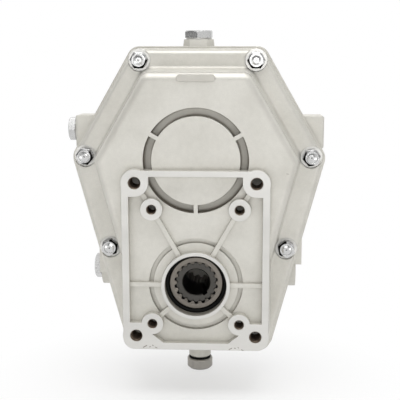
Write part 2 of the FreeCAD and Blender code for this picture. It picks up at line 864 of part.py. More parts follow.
def rear_housing():
    """The rear casting: a deep tub with the rear bearing bosses and all the oil plug bosses."""
    flange = plate(casing_outline(housing_size, housing_corner_radii, 0.0, housing_front),
                   housing_flange_back)
    shell = tapered(casing_outline(housing_size, housing_corner_radii, -housing_step,
                                   housing_front + overlap),
                    casing_outline(housing_size, housing_corner_radii, -housing_step - housing_draft,
                                   housing_back))
    shell = shell.makeFillet(housing_back_radius, edges_in_plane(shell, housing_back))
    input_radius = input_bearing[1] / 2.0 + bearing_boss_wall
    output_radius = output_bearing[1] / 2.0 + bearing_boss_wall
    input_boss = disc(0, centre_distance, input_radius, housing_inner_back, input_boss_back)
    input_boss = input_boss.makeFillet(boss_edge_radius, edges_in_plane(input_boss, input_boss_back))
    output_boss = disc(0, 0, output_radius, housing_inner_back, output_boss_back)
    output_boss = output_boss.makeFillet(2 * boss_edge_radius, edges_in_plane(output_boss, output_boss_back))
    outside = [flange, shell, input_boss, output_boss] + housing_bosses() + back_ribs() + fixing_bosses()
    body = join(outside)
    cavity = plate(casing_outline(housing_size, housing_corner_radii, -wall_inset, housing_front - overlap),
                   housing_inner_back)
    kept = [disc(x, z, bolt_boss_radius, housing_front - overlap, housing_front + bolt_boss_depth)
            for x, z in bolt_axes()]
    kept += [disc(x, z, bolt_boss_radius, housing_front - overlap, housing_inner_back) for x, z in tie_places]
    kept.append(disc(0, centre_distance, input_radius, input_rear_bearing_y - bearing_end_gap,
                     housing_inner_back))
    kept.append(disc(0, 0, output_radius, output_rear_bearing_y - bearing_end_gap, housing_inner_back))
    body = body.cut(cavity.cut(kept))
    return body.cut(housing_cuts()).removeSplitter()


def back_ribs():
    """The ribs on the back wall, from boss to boss and out towards the screws."""
    front, back = housing_back - overlap, housing_back + back_rib_height
    ribs = [rib((0, 0), (0, centre_distance), back_rib_width, front, back)]
    for side in (-1, 1):
        for (x, z, turn), centre in zip(right_places, (centre_distance, centre_distance, 0.0)):
            reach = vec(side * x, 0, z - centre)
            end = reach * (1.0 - back_rib_end_gap / reach.Length)
            ribs.append(rib((0, centre), (end.x, centre + end.z), back_rib_width, front, back))
    return ribs


fixing_places = [polar(fixing_circle_radius, a, 0, centre_distance) for a in fixing_angles]


def fixing_bosses():
    return [disc(x, z, fixing_boss_radius, housing_inner_back, housing_back + fixing_boss_height)
            for x, z in fixing_places]


def housing_cuts():
    """The bores, tapped holes and oil plug holes of the rear housing."""
    in_r = input_bearing[1] / 2.0
    out_r = output_bearing[1] / 2.0
    clip_front = input_rear_bearing_y + input_bearing[2] + slide_gap
    clip_back = clip_front + bore_clip_thickness + 2 * slide_gap
    groove_r = bore_clip_groove / 2.0
    mouth_r = in_r + input_mouth_chamfer
    past = input_boss_back + overlap
    open_end = ((0, bore_cut_front), (in_r, bore_cut_front), (in_r, clip_front), (groove_r, clip_front),
                (groove_r, clip_back), (in_r, clip_back), (in_r, input_boss_back - input_mouth_chamfer),
                (mouth_r, input_boss_back), (mouth_r, past), (0, past))
    closed = output_rear_bearing_y + output_bearing[2] + bearing_end_gap
    blind_end = ((0, bore_cut_front), (out_r, bore_cut_front), (out_r, closed), (0, closed))
    cuts = [turned(open_end, 0, centre_distance), turned(blind_end, 0, 0)]
    thread = bolt_diameter / 2.0
    deep = cover_flange_front - bolt_pad_height - spring_washer_thickness + bolt_length + bolt_end_gap
    for x, z in bolt_axes():
        cuts.append(disc(x, z, thread, housing_front - overlap, deep))
    for x, z in tie_places:
        cuts.append(disc(x, z, bolt_hole_diameter / 2.0, housing_front - overlap, housing_back + overlap))
    for x, z in dowel_places:
        cuts.append(disc(x, z, dowel_diameter / 2.0, housing_front - overlap,
                         cover_back - dowel_cover_depth + dowel_length + free_gap))
    for x, z in fixing_places:
        hole = thread_hole(x, z, fixing_thread, fixing_thread_depth)
        hole.rotate(vec(x, 0, z), vec(0, 0, 1), 180.0)
        hole.translate(vec(0, housing_back + fixing_boss_height, 0))
        cuts.append(hole)
    plug = side_plug_thread / 2.0
    cuts.append(bar(vec(0, filler_boss_y, filler_boss_top + overlap),
                    vec(0, filler_boss_y, housing_top - filler_hole_root), plug_thread / 2.0))
    for reach, z, depth in ((lug_reach, level_plug_z, side_hole_depth),
                            (side_boss_reach, side_boss_z, side_boss_depth)):
        mouth = vec(-reach, lug_y, z)
        cuts.append(bar(mouth, vec(depth - reach, lug_y, z), plug))
        cuts.append(bar(vec(-through, lug_y, z), mouth, side_plug_flats / math.sqrt(3.0) + seat_gap))
    cuts.append(bar(vec(0, drain_boss_y, drain_boss_bottom - overlap),
                    vec(0, drain_boss_y, housing_bottom + drain_hole_root), drain_thread / 2.0))
    return cuts


def cover_gasket():
    """The paper gasket between the two castings."""
    sheet = plate(casing_outline(housing_size, housing_corner_radii, cover_grow, cover_back), housing_front)
    front, back = cover_back - overlap, housing_front + overlap
    opening = plate(casing_outline(housing_size, housing_corner_radii, -wall_inset, front), back)
    places = bolt_axes() + tie_places
    kept = [disc(x, z, bolt_boss_radius, front, back) for x, z in places]
    holes = [disc(x, z, bolt_hole_diameter / 2.0, front, back) for x, z in places]
    holes += [disc(x, z, dowel_diameter / 2.0 + free_gap, front, back) for x, z in dowel_places]
    return sheet.cut(opening.cut(kept)).cut(holes)


def hexagon(flats, height, chamfer):
    """A hexagon bar standing on z = 0, its corners turned down at 30 degrees, by chamfer at each corner."""
    corner = flats / math.sqrt(3.0)
    points = [vec(*polar(corner, 60.0 * i), 0) for i in range(7)]
    bar_shape = Part.Face(Part.makePolygon(points)).extrude(vec(0, 0, height))
    drop = chamfer * math.tan(math.radians(30.0))
    cone = Part.makeCone(corner, corner - chamfer, drop, vec(0, 0, height - drop))
    under = Part.makeCylinder(corner, height - drop)
    return bar_shape.common(cone.fuse(under))


def hex_bolt(length):
    """A hexagon screw along Z: its head stands on z = 0 and its shank hangs below."""
    head = hexagon(bolt_head_flats, bolt_head_height, bolt_head_chamfer)
    top, low, over = bolt_head_height, bolt_head_height - bolt_groove_depth, bolt_head_height + overlap
    pit = vec(bolt_pit_radius, 0, top - bolt_pit_depth)
    rim = vec(bolt_pit_radius, 0, top)
    foot = vec(bolt_groove_inner, 0, low)
    bend = vec(bolt_groove_inner * bolt_dish_bend_out, 0, top - bolt_groove_depth * bolt_dish_bend_down)
    dome = Part.Arc(rim, bend, foot).toShape()
    rest = Part.makePolygon([foot, vec(bolt_groove_outer, 0, low), vec(bolt_groove_outer, 0, over),
                             vec(0, 0, over), vec(0, 0, pit.z), pit, rim])
    hollow = Part.Face(Part.Wire([dome] + rest.Edges)).revolve(vec(0, 0, 0), vec(0, 0, 1), 360)
    shank_radius = bolt_diameter / 2.0 - slide_gap
    shank = Part.makeCylinder(shank_radius, length, vec(0, 0, -length))
    end = [e for e in shank.Edges if abs(e.BoundBox.ZMax + length) < same_place]
    return head.cut(hollow).fuse(shank.makeChamfer(bolt_end_chamfer, end)).removeSplitter()


def set_facing(shape, x, y, z, turn, facing):
    """Turns a shape that stands on +Z so that it faces along -Y or +Y, and puts it at a place."""
    shape.rotate(vec(0, 0, 0), vec(0, 0, 1), turn)
    shape.rotate(vec(0, 0, 0), vec(1, 0, 0), -90.0 * facing)
    shape.translate(vec(x, y, z))
    return shape


def cover_bolts():
    seat = cover_flange_front - bolt_pad_height - spring_washer_thickness
    return [set_facing(hex_bolt(bolt_length), x, seat, z, turn, -1) for x, z, turn in mirrored_places()]


def rear_tie_bolts():
    seat = housing_back + spring_washer_thickness
    return [set_facing(hex_bolt(tie_bolt_length), x, seat, z, 0.0, 1) for x, z in tie_places]


def spring_washer():
    """A split washer that lies on z = 0."""
    ring = Part.makeCylinder(spring_washer_outer / 2.0, spring_washer_thickness).cut(
        Part.makeCylinder(bolt_diameter / 2.0 + slide_gap, spring_washer_thickness))
    slit = Part.makeBox(spring_washer_outer, spring_washer_slit, 3 * spring_washer_thickness,
                        vec(spring_washer_slit_start, -spring_washer_slit / 2.0, -spring_washer_thickness))
    slit.rotate(vec(bolt_diameter / 2.0, 0, spring_washer_thickness / 2.0), vec(1, 0, 0),
                spring_washer_slit_turn)
    return ring.cut(slit)


def bolt_spring_washers():
    front = cover_flange_front - bolt_pad_height
    rings = [set_facing(spring_washer(), x, front, z, turn, -1) for x, z, turn in mirrored_places()]
    rings += [set_facing(spring_washer(), x, housing_back, z, tie_washer_turn, 1) for x, z in tie_places]
    return rings


def dowel_pins():
    pins = []
    for x, z in dowel_places:
        front = cover_back - dowel_cover_depth
        pin = disc(x, z, dowel_diameter / 2.0, front, front + dowel_length)
        ends = edges_in_plane(pin, front) + edges_in_plane(pin, front + dowel_length)
        pins.append(pin.makeChamfer(dowel_chamfer, ends))
    return pins


def hex_plug(flats, thread):
    """An oil plug along Z: its head stands on z = 0 and its thread hangs below."""
    head = hexagon(flats, plug_head_height, plug_chamfer)
    shank = Part.makeCylinder(thread / 2.0 - slide_gap, plug_thread_length + plug_washer_thickness,
                              vec(0, 0, -plug_thread_length - plug_washer_thickness))
    return head.fuse(shank).removeSplitter()


def stood_left(shape, x, y, z, turn):
    """Turns a shape that stands on +Z so that it faces -X, and puts it at a place."""
    shape.rotate(vec(0, 0, 0), vec(0, 0, 1), turn)
    shape.rotate(vec(0, 0, 0), vec(0, 1, 0), -90.0)
    shape.translate(vec(x, y, z))
    return shape


def stood_up(shape, x, y, z, turn):
    shape.rotate(vec(0, 0, 0), vec(0, 0, 1), turn)
    shape.translate(vec(x, y, z))
    return shape


def filler_plug():
    return stood_up(hex_plug(plug_flats, plug_thread), 0, filler_boss_y,
                    filler_boss_top + plug_washer_thickness, filler_plug_turn)


def level_plug():
    return stood_left(hex_plug(side_plug_flats, side_plug_thread), -lug_reach - plug_washer_thickness, lug_y,
                      level_plug_z, level_plug_turn)


def lower_side_plug():
    return stood_left(hex_plug(side_plug_flats, side_plug_thread), -side_boss_reach - plug_washer_thickness,
                      lug_y, side_boss_z, lower_side_plug_turn)


def plug_washer(outer, thread):
    return Part.makeCylinder(outer / 2.0, plug_washer_thickness).cut(
        Part.makeCylinder(thread / 2.0, plug_washer_thickness))


def plug_washers():
    washers = [stood_up(plug_washer(plug_washer_outer, plug_thread), 0, filler_boss_y, filler_boss_top, 0.0)]
    for reach, z in ((lug_reach, level_plug_z), (side_boss_reach, side_boss_z)):
        washer = plug_washer(side_plug_washer_outer, side_plug_thread)
        washers.append(stood_left(washer, -reach, lug_y, z, 0.0))
    return washers


def drain_plug():
    """The round drain plug, with a hexagon socket in its lower face."""
    top = drain_boss_bottom - drain_washer_thickness
    head = Part.makeCylinder(drain_head_radius, drain_head_height,
                             vec(0, drain_boss_y, top - drain_head_height))
    low = [e for e in head.Edges if abs(e.BoundBox.ZMax - top + drain_head_height) < same_place]
    high = [e for e in head.Edges if abs(e.BoundBox.ZMin - top) < same_place]
    head = head.makeChamfer(drain_head_chamfer, low).makeFillet(drain_head_shoulder, high[:1])
    socket = hexagon(drain_socket_flats, drain_socket_depth, drain_socket_chamfer)
    socket.translate(vec(0, drain_boss_y, top - drain_head_height))
    radius = drain_thread / 2.0 - slide_gap
    shank = Part.makeCylinder(radius, plug_thread_length + drain_washer_thickness, vec(0, drain_boss_y, top))
    return head.cut(socket).fuse(shank).removeSplitter()


def drain_washer():
    low = drain_boss_bottom - drain_washer_thickness
    place = vec(0, drain_boss_y, low)
    return Part.makeCylinder(drain_washer_outer, drain_washer_thickness, place).cut(
        Part.makeCylinder(drain_thread / 2.0, drain_washer_thickness, place))


def bearing(size, front, z):
    """A deep groove ball bearing: its outer ring, inner ring, balls and cage."""
    bore, outer, width, ball, count = size
    pitch = (bore + outer) / 4.0
    middle = front + width / 2.0
    groove = turned_circle(pitch, middle, ball / 2.0 + race_gap, z)
    c = ring_chamfer
    inner_shoulder = pitch - race_shoulder * ball
    outer_shoulder = pitch + race_shoulder * ball
    back = front + width
    outer_ring = turned(((outer_shoulder, front), (outer / 2.0 - c, front), (outer / 2.0, front + c),
                         (outer / 2.0, back - c), (outer / 2.0 - c, back), (outer_shoulder, back)), 0, z)
    inner_ring = turned(((bore / 2.0 + c, front), (inner_shoulder, front), (inner_shoulder, back),
                         (bore / 2.0 + c, back), (bore / 2.0, back - c), (bore / 2.0, front + c)), 0, z)
    places = [polar(pitch, 360.0 * i / count + 90.0, 0, z) for i in range(count)]
    balls = [Part.makeSphere(ball / 2.0, vec(x, middle, place_z)) for x, place_z in places]
    half = ball / 2.0 + cage_side
    cage = disc(0, z, pitch + cage_thickness / 2.0, middle - half, middle + half).cut(
        disc(0, z, pitch - cage_thickness / 2.0, middle - half, middle + half))
    pockets = []
    for i in range(count):
        near = polar(pitch - ball, 360.0 * i / count + 90.0, 0, z)
        far = polar(pitch + ball, 360.0 * i / count + 90.0, 0, z)
        pockets.append(bar(vec(near[0], middle, near[1]), vec(far[0], middle, far[1]), ball / 2.0 + cage_gap))
    cage = cage.cut(pockets)
    return outer_ring.cut(groove), inner_ring.cut(groove), balls, cage


def turned_circle(radius, y, small, z):
    """A ring of round section about the Y axis."""
    return Part.makeTorus(radius, small, vec(0, y, z), Y_AXIS)


def oil_seal(inner, outer, width, front, facing, z):
    """A lip seal: a shell in the bore, a web and a lip on the shaft; facing says which way its face looks."""
    shell, web, lip = seal_shell, seal_web, seal_lip
    r, out = inner / 2.0 + slide_gap, outer / 2.0
    face = r + seal_face_inner
    section = ((face, 0.0), (face, seal_face_recess), (out - shell - seal_face_slope, seal_face_recess),
               (out - shell, 0.0), (out, 0.0), (out, width), (out - shell, width), (out - shell, web),
               (r + lip + seal_neck_outer, web), (r + lip + seal_neck_inner, web + seal_neck_drop),
               (r + lip + seal_lip_back, width - seal_lip_bend),
               (r + seal_lip_nose, width - seal_lip_nose_inset), (r, width * seal_edge_share),
               (r + seal_edge_slope, web), (r + seal_dust_gap, seal_dust_edge))
    start = front if facing > 0 else front + width
    placed = tuple((a, start + facing * b) for a, b in section)
    return turned(placed, 0, z)


def garter_spring(inner, front, facing, width, z):
    start = front if facing > 0 else front + width
    radius = inner / 2.0 + seal_lip + seal_lip_back + garter_radius + free_gap
    return turned_circle(radius, start + facing * width * garter_share, garter_radius, z)


def bore_clip(groove_radius, radial, thickness, front, z):
    """A spring ring for a groove in a bore, open at the bottom, with two pierced ears."""
    ring = disc(0, z, groove_radius, front, front + thickness).cut(
        disc(0, z, groove_radius - radial, front, front + thickness))
    ears = []
    holes = []
    for side in (-1, 1):
        x = side * (clip_opening / 2.0 + clip_ear - bore_clip_ear_overlap)
        ear_z = z - groove_radius + radial + clip_ear / 2.0
        ears.append(disc(x, ear_z, clip_ear, front, front + thickness))
        holes.append(disc(x, ear_z, clip_ear_hole, front, front + thickness))
    gap = block((-clip_opening / 2.0, front - overlap, z - groove_radius - overlap),
                (clip_opening / 2.0, front + thickness + overlap, z))
    inside = disc(0, z, groove_radius, front, front + thickness)
    return join([ring] + ears).common(inside).cut([gap] + holes).removeSplitter()


def shaft_clip(groove_radius, radial, thickness, front, z):
    """A spring ring for a groove on a shaft, open at the top, with two pierced ears."""
    outer = groove_radius + radial
    ring = disc(0, z, outer, front, front + thickness)
    ears = []
    holes = []
    for side in (-1, 1):
        x = side * (clip_opening / 2.0 + clip_ear - shaft_clip_ear_overlap)
        ears.append(disc(x, z + outer, clip_ear, front, front + thickness))
        holes.append(disc(x, z + outer + shaft_clip_hole_rise, clip_ear_hole, front, front + thickness))
    bore = disc(0, z, groove_radius, front - overlap, front + thickness + overlap)
    gap = block((-clip_opening / 2.0, front - overlap, z),
                (clip_opening / 2.0, front + thickness + overlap, z + through))
    return join([ring] + ears).cut([bore, gap] + holes).removeSplitter()


seal_front_y = pilot_depth
bore_clip_y = input_rear_bearing_y + input_bearing[2] + 2 * slide_gap
input_seal_y = input_boss_back - input_seal_width - input_seal_inset
gear_back = gear_front + gear_width
stub_start = input_boss_back + stub_plain_length
stub_end = stub_start + stub_length


def input_shaft():
    """The input shaft: two journals, a collar, the gear seat with its keyway, and the splined stub."""
    journal, seat = shaft_journal / 2.0, shaft_gear_seat / 2.0
    clip = shaft_clip_groove / 2.0
    clip_back = gear_back + shaft_clip_thickness + 2 * slide_gap
    section = ((0, shaft_front), (journal - shaft_chamfer, shaft_front),
               (journal, shaft_front + shaft_chamfer),
               (journal, input_front_bearing_y + input_bearing[2]),
               (shaft_collar / 2.0, input_front_bearing_y + input_bearing[2]),
               (shaft_collar / 2.0, gear_front), (seat, gear_front), (seat, gear_back),
               (clip, gear_back), (clip, clip_back), (seat, clip_back),
               (seat, input_rear_bearing_y), (journal, input_rear_bearing_y), (journal, stub_start),
               (0, stub_start))
    body = turned(section, 0, 0)
    profile = lobed_wire(stub_teeth, stub_minor_radius, stub_major_radius, stub_tooth_half, stub_tooth_half,
                         math.radians(90.0), stub_start)
    stub = Part.Face(profile).extrude(vec(0, stub_length, 0))
    r = stub_major_radius + turning_gap
    rounded = turned(((0, stub_start - overlap), (r, stub_start - overlap),
                      (r, stub_end - stub_chamfer_slope * stub_chamfer),
                      (r - stub_chamfer - turning_gap, stub_end), (0, stub_end)), 0, 0)
    lock = turned_circle(stub_groove_bottom + stub_groove_radius, stub_end - stub_groove_from_end,
                         stub_groove_radius, 0)
    centre = turned(((0, stub_end - centre_hole_depth), (centre_hole_radius, stub_end - centre_hole_depth),
                     (centre_hole_radius, stub_end - centre_cone_depth), (centre_cone_radius, stub_end),
                     (centre_cone_radius, stub_end + overlap), (0, stub_end + overlap)), 0, 0)
    body = body.fuse(stub.common(rounded).cut(lock)).cut([centre, key_space(0.0)])
    return at_input(body.removeSplitter())


def key_space(grow):
    """The room that the gear key takes up, about the Y axis."""
    seat = shaft_gear_seat / 2.0
    middle = gear_front + gear_width / 2.0
    half = key_width / 2.0 + grow
    low = seat - key_seat_depth
    return block((-half, middle - key_length / 2.0 - grow, low), (half, middle + key_length / 2.0 + grow,
                                                                  low + key_height + grow))


def gear_key():
    return at_input(key_space(0.0))


def input_gear():
    """The large gear: a rim, a thinner web with lightening holes, and a keyed hub."""
    phase = math.radians(-90.0) + math.pi / gear_teeth
    body = Part.Face(gear_wire(gear_teeth, phase, gear_front)).extrude(vec(0, gear_width, 0))
    dish = (gear_width - gear_web_thickness) / 2.0
    cuts = []
    for front, back in ((gear_front - overlap, gear_front + dish), (gear_back - dish, gear_back + overlap)):
        cuts.append(disc(0, 0, gear_rim_inner, front, back).cut(disc(0, 0, gear_hub_radius, front, back)))
    for i in range(gear_web_hole_count):
        x, z = polar(gear_web_hole_circle, 360.0 * i / gear_web_hole_count)
        cuts.append(disc(x, z, gear_web_hole_radius, gear_front, gear_back))
    cuts.append(disc(0, 0, shaft_gear_seat / 2.0, gear_front - overlap, gear_back + overlap))
    half = key_width / 2.0
    roof = shaft_gear_seat / 2.0 - key_seat_depth + key_height + free_gap
    cuts.append(block((-half, gear_front - overlap, 0), (half, gear_back + overlap, roof)))
    return at_input(body.cut(cuts))


def gear_circlip():
    return shaft_clip(shaft_clip_groove / 2.0, shaft_clip_width, shaft_clip_thickness, gear_back + slide_gap,
                      centre_distance)


def spline_half(radius, gap):
    """Half the width of a spline tooth of the coupling at a radius."""
    pitch_radius = spline_module * spline_teeth / 2.0
    return math.pi * spline_module / 4.0 - (radius - pitch_radius) * spline_flank - gap


def pinion_shaft():
    """The hollow output shaft: journals, the pinion's teeth, and an internal spline right through."""
    journal = pinion_journal / 2.0
    face_back = pinion_face_front + pinion_face_width
    end = output_rear_bearing_y + output_bearing[2] - bearing_end_gap
    c = pinion_chamfer
    front_seat = output_front_bearing_y + output_bearing[2]
    body = turned(((0, pinion_front), (journal - c, pinion_front), (journal, pinion_front + c),
                   (journal, front_seat), (pinion_collar_radius, front_seat),
                   (pinion_collar_radius, pinion_face_front), (0, pinion_face_front)), 0, 0)
    teeth = Part.Face(gear_wire(pinion_teeth, math.radians(90.0), pinion_face_front)).extrude(
        vec(0, pinion_face_width, 0))
    tail = turned(((0, face_back), (pinion_collar_radius, face_back),
                   (pinion_collar_radius, output_rear_bearing_y), (journal, output_rear_bearing_y),
                   (journal, end - c), (journal - c, end), (0, end)), 0, 0)
    hole = Part.Face(lobed_wire(spline_teeth, spline_tip_radius, spline_root_radius,
                                spline_half(spline_tip_radius, 0.0), spline_half(spline_root_radius, 0.0),
                                math.radians(90.0), pinion_front - overlap)).extrude(vec(0, end, 0))
    wide = spline_root_radius + spline_mouth_grow
    mouth_back = pinion_front + spline_mouth_depth
    mouth = turned(((0, pinion_front - overlap), (wide, pinion_front - overlap), (wide, pinion_front),
                    (spline_tip_radius, mouth_back), (0, mouth_back)), 0, 0)
    groove_front = coupling_front + coupling_length + slide_gap
    groove = disc(0, 0, stop_ring_groove_radius, groove_front, groove_front + stop_ring_thickness + slide_gap)
    return body.fuse([teeth, tail]).cut([hole, mouth, groove]).removeSplitter()


def pump_coupling():
    """The sleeve for the pump's tapered shaft: outside teeth, a 1:8 taper, a keyway and a nut space."""
    back = coupling_front + coupling_length
    body = Part.Face(lobed_wire(spline_teeth, coupling_root_radius, coupling_outer_radius,
                                spline_half(coupling_root_radius, coupling_flank_gap),
                                spline_half(coupling_outer_radius, coupling_flank_gap),
                                math.radians(90.0), coupling_front)).extrude(vec(0, coupling_length, 0))
    c, r = coupling_chamfer, coupling_outer_radius + turning_gap
    body = body.common(turned(((0, coupling_front), (r - c, coupling_front), (r, coupling_front + c),
                               (r, back - c), (r - c, back), (0, back)), 0, 0))
    taper_end = coupling_front + coupling_taper_length
    small = coupling_taper_radius - coupling_taper_length * coupling_taper_rate
    bore = turned(((0, coupling_front - overlap),
                   (coupling_taper_radius + coupling_mouth_grow, coupling_front - overlap),
                   (coupling_taper_radius, coupling_front + coupling_mouth_depth), (small, taper_end),
                   (coupling_nut_radius, taper_end), (coupling_nut_radius, back + overlap),
                   (0, back + overlap)), 0, 0)
    half = coupling_keyway_width / 2.0
    key = block((0, coupling_front - overlap, -half),
                (coupling_taper_radius + coupling_keyway_depth, taper_end, half))
    key.rotate(vec(0, 0, 0), Y_AXIS, -coupling_keyway_angle)
    return body.cut([bore, key]).removeSplitter()


def coupling_stop_ring():
    front = coupling_front + coupling_length + slide_gap
    ring = disc(0, 0, stop_ring_groove_radius, front, front + stop_ring_thickness).cut(
        disc(0, 0, stop_ring_inner_radius, front, front + stop_ring_thickness))
    half = stop_ring_opening / 2.0
    gap = block((-half, front - overlap, 0), (half, front + stop_ring_thickness + overlap, through))
    return ring.cut(gap)


def save(name, shape):
    """Writes one sub-part, whether one solid or a group of like solids."""
    solids = []
    for piece in (shape if isinstance(shape, list) else [shape]):
        solids += piece.Solids
    whole = solids[0] if len(solids) == 1 else Part.makeCompound(solids)
    whole.exportStep("parts/" + name + ".step")
    print(name, len(solids), round(whole.Volume, 1), whole.isValid())


def save_bearing(name, size, front, z):
    for piece, shape in zip(("outer_ring", "inner_ring", "balls", "cage"), bearing(size, front, z)):
        save(name + "_" + piece, shape)


os.makedirs("parts", exist_ok=True)
save("front_cover", front_cover())
save("rear_housing", rear_housing())
save("cover_gasket", cover_gasket())
save("cover_bolts", cover_bolts())
save("rear_tie_bolts", rear_tie_bolts())
save("bolt_spring_washers", bolt_spring_washers())
save("dowel_pins", dowel_pins())
save("filler_plug", filler_plug())
save("level_plug", level_plug())
save("lower_side_plug", lower_side_plug())
save("plug_washers", plug_washers())
save("drain_plug", drain_plug())
save("drain_washer", drain_washer())
save("input_shaft", input_shaft())
save("input_gear", input_gear())
save("gear_key", gear_key())
save("gear_circlip", gear_circlip())
save_bearing("input_front_bearing", input_bearing, input_front_bearing_y, centre_distance)
save_bearing("input_rear_bearing", input_bearing, input_rear_bearing_y, centre_distance)
save("input_bearing_circlip", bore_clip(bore_clip_groove / 2.0, bore_clip_width, bore_clip_thickness,
                                        bore_clip_y, centre_distance))
save("input_oil_seal", oil_seal(shaft_journal, input_seal_outer, input_seal_width, input_seal_y, -1,
                                centre_distance))
save("input_seal_spring", garter_spring(shaft_journal, input_seal_y, -1, input_seal_width, centre_distance))
save("pinion_shaft", pinion_shaft())
save_bearing("output_front_bearing", output_bearing, output_front_bearing_y, 0.0)
save_bearing("output_rear_bearing", output_bearing, output_rear_bearing_y, 0.0)
save("output_oil_seal", oil_seal(pinion_journal, output_seal_outer, output_seal_width, seal_front_y, 1, 0.0))
save("output_seal_spring", garter_spring(pinion_journal, seal_front_y, 1, output_seal_width, 0.0))
save("pump_coupling", pump_coupling())
save("coupling_stop_ring", coupling_stop_ring())
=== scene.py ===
"""Finishes, thread detail, light and camera for a power take-off gearbox.

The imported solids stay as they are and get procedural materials.
Lengths are in metres, in the frame of the pump flange: X to the right, Z up,
and the flange in the plane y = 0, facing -Y.
"""

import math

import bpy
import numpy as np
from bpy.props import FloatProperty, FloatVectorProperty, IntProperty, PointerProperty
from mathutils import Matrix, Vector


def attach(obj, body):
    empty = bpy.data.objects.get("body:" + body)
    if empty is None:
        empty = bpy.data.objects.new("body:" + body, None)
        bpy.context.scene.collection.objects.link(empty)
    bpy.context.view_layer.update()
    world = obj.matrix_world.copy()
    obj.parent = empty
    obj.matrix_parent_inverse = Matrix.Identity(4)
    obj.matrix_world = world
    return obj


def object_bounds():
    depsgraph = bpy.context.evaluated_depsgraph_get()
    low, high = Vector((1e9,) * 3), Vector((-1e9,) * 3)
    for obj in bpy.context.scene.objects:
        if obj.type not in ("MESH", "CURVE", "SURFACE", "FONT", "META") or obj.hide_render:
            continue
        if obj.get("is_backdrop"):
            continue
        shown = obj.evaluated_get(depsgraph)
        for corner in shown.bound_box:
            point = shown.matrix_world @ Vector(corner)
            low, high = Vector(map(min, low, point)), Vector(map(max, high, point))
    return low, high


bl_info = {
    "name": "Power take-off gearbox looks",
    "version": (1, 0, 0),
    "blender": (4, 5, 0),
    "location": "3D View > Sidebar > Gearbox",
    "description": "Finishes for the castings, fasteners, plugs, seals and gears, with light and camera",
    "category": "Object",
}

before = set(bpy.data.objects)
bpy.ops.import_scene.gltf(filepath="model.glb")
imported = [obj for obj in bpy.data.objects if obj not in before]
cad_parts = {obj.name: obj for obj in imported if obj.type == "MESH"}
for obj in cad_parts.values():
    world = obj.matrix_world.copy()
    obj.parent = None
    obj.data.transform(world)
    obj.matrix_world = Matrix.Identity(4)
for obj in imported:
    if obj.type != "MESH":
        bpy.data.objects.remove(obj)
MM = 0.001
WHITE = (1.0, 1.0, 1.0, 1.0)


def colour(name, description, default):
    return FloatVectorProperty(name=name, description=description, default=default, size=4,
                               subtype="COLOR", min=0.0, max=1.0)


def length(name, description, default):
    return FloatProperty(name=name, description=description, default=default, unit="LENGTH",
                         subtype="DISTANCE", precision=5)


def angle(name, description, degrees):
    return FloatProperty(name=name, description=description, default=math.radians(degrees),
                         subtype="ANGLE")


class CastingLook(bpy.types.PropertyGroup):
    """Colours and grain of the two aluminium castings"""
    skin: colour("Cast skin", "Blasted skin of the castings", (0.67, 0.655, 0.605, 1.0))
    cloud: colour("Clouding", "Slightly darker patches in the cast skin", (0.61, 0.595, 0.545, 1.0))
    # This colour serves painted shade with soot in corners, groove edges and the pilot bore, and also the
    # scratches and the pad
    soot_and_shade: colour("Soot", "Release agent left in grooves and corners", (0.15, 0.125, 0.092, 1.0))
    machined: colour("Machined face", "Milled flange face and bored rims", (0.69, 0.68, 0.65, 1.0))
    grain: length("Grain size", "Size of the grain of the blasted skin", 0.0008)
    grain_depth: length("Grain depth", "Depth of the grain of the blasted skin", 0.00006)
    edge_radius: length("Edge radius", "Rounding of the castings' edges as the light shows it", 0.0007)


class MetalLook(bpy.types.PropertyGroup):
    """Colours of the screws, plugs, gears, shafts and bearings"""
    zinc: colour("Zinc", "Bright zinc of the screws and plugs", (0.62, 0.62, 0.615, 1.0))
    phosphate: colour("Phosphate", "Dark finish of the drain plug", (0.40, 0.38, 0.35, 1.0))
    hardened: colour("Hardened steel", "Tan grey of the hollow pinion shaft", (0.22, 0.20, 0.175, 1.0))
    sleeve: colour("Sleeve", "Dark grey steel of the splined sleeve", (0.085, 0.081, 0.074, 1.0))
    ground: colour("Ground steel", "Ground journals, gears and bearing rings", (0.52, 0.51, 0.49, 1.0))
    blued: colour("Blued steel", "Spring rings", (0.05, 0.055, 0.07, 1.0))


class SealLook(bpy.types.PropertyGroup):
    """Colours of the seals, the gasket and the plugs' washers"""
    rubber: colour("Rubber", "Oil seals and the drain plug's ring", (0.005, 0.005, 0.0045, 1.0))
    paper: colour("Gasket paper", "Paper gasket between the castings", (0.30, 0.27, 0.21, 1.0))
    alloy: colour("Sealing washer", "Soft washers under the plugs", (0.62, 0.61, 0.58, 1.0))


class ThreadLook(bpy.types.PropertyGroup):
    """Sizes of the threads in the pump flange"""
    large_pitch: length("Larger pitch", "Pitch of the M10 threads", 0.0015)
    small_pitch: length("Smaller pitch", "Pitch of the M8 threads", 0.00125)
    around: IntProperty(name="Steps around", description="Grid steps round one thread",
                        default=40, min=12)
    per_turn: IntProperty(name="Steps per turn", description="Grid steps along one pitch",
                          default=8, min=4)
    oil: colour("Oiled thread", "Cutting oil on the threads", (0.19, 0.145, 0.11, 1.0))


class StageLook(bpy.types.PropertyGroup):
    """Floor and camera"""
    floor: colour("Floor", "Pale plain floor", (0.92, 0.92, 0.92, 1.0))
    pool: length("Shadow reach", "How far from the gearbox the floor turns plain white", 0.2)
    focal: FloatProperty(name="Focal length", description="Lens for a 36 mm sensor, in millimetres",
                         default=82.05, min=20.0)
    distance: length("Camera distance", "From the camera to the point it looks at", 0.731)
    azimuth: angle("Azimuth", "Camera's angle to the right", 3.02)
    elevation: angle("Elevation", "Camera's angle above the horizon", 10.89)
    roll: angle("Roll", "Camera's turn about its own axis", -0.07)


LOOKS = {
    "gearbox_casting": CastingLook,
    "gearbox_metal": MetalLook,
    "gearbox_seal": SealLook,
    "gearbox_thread": ThreadLook,
    "gearbox_stage": StageLook,
}


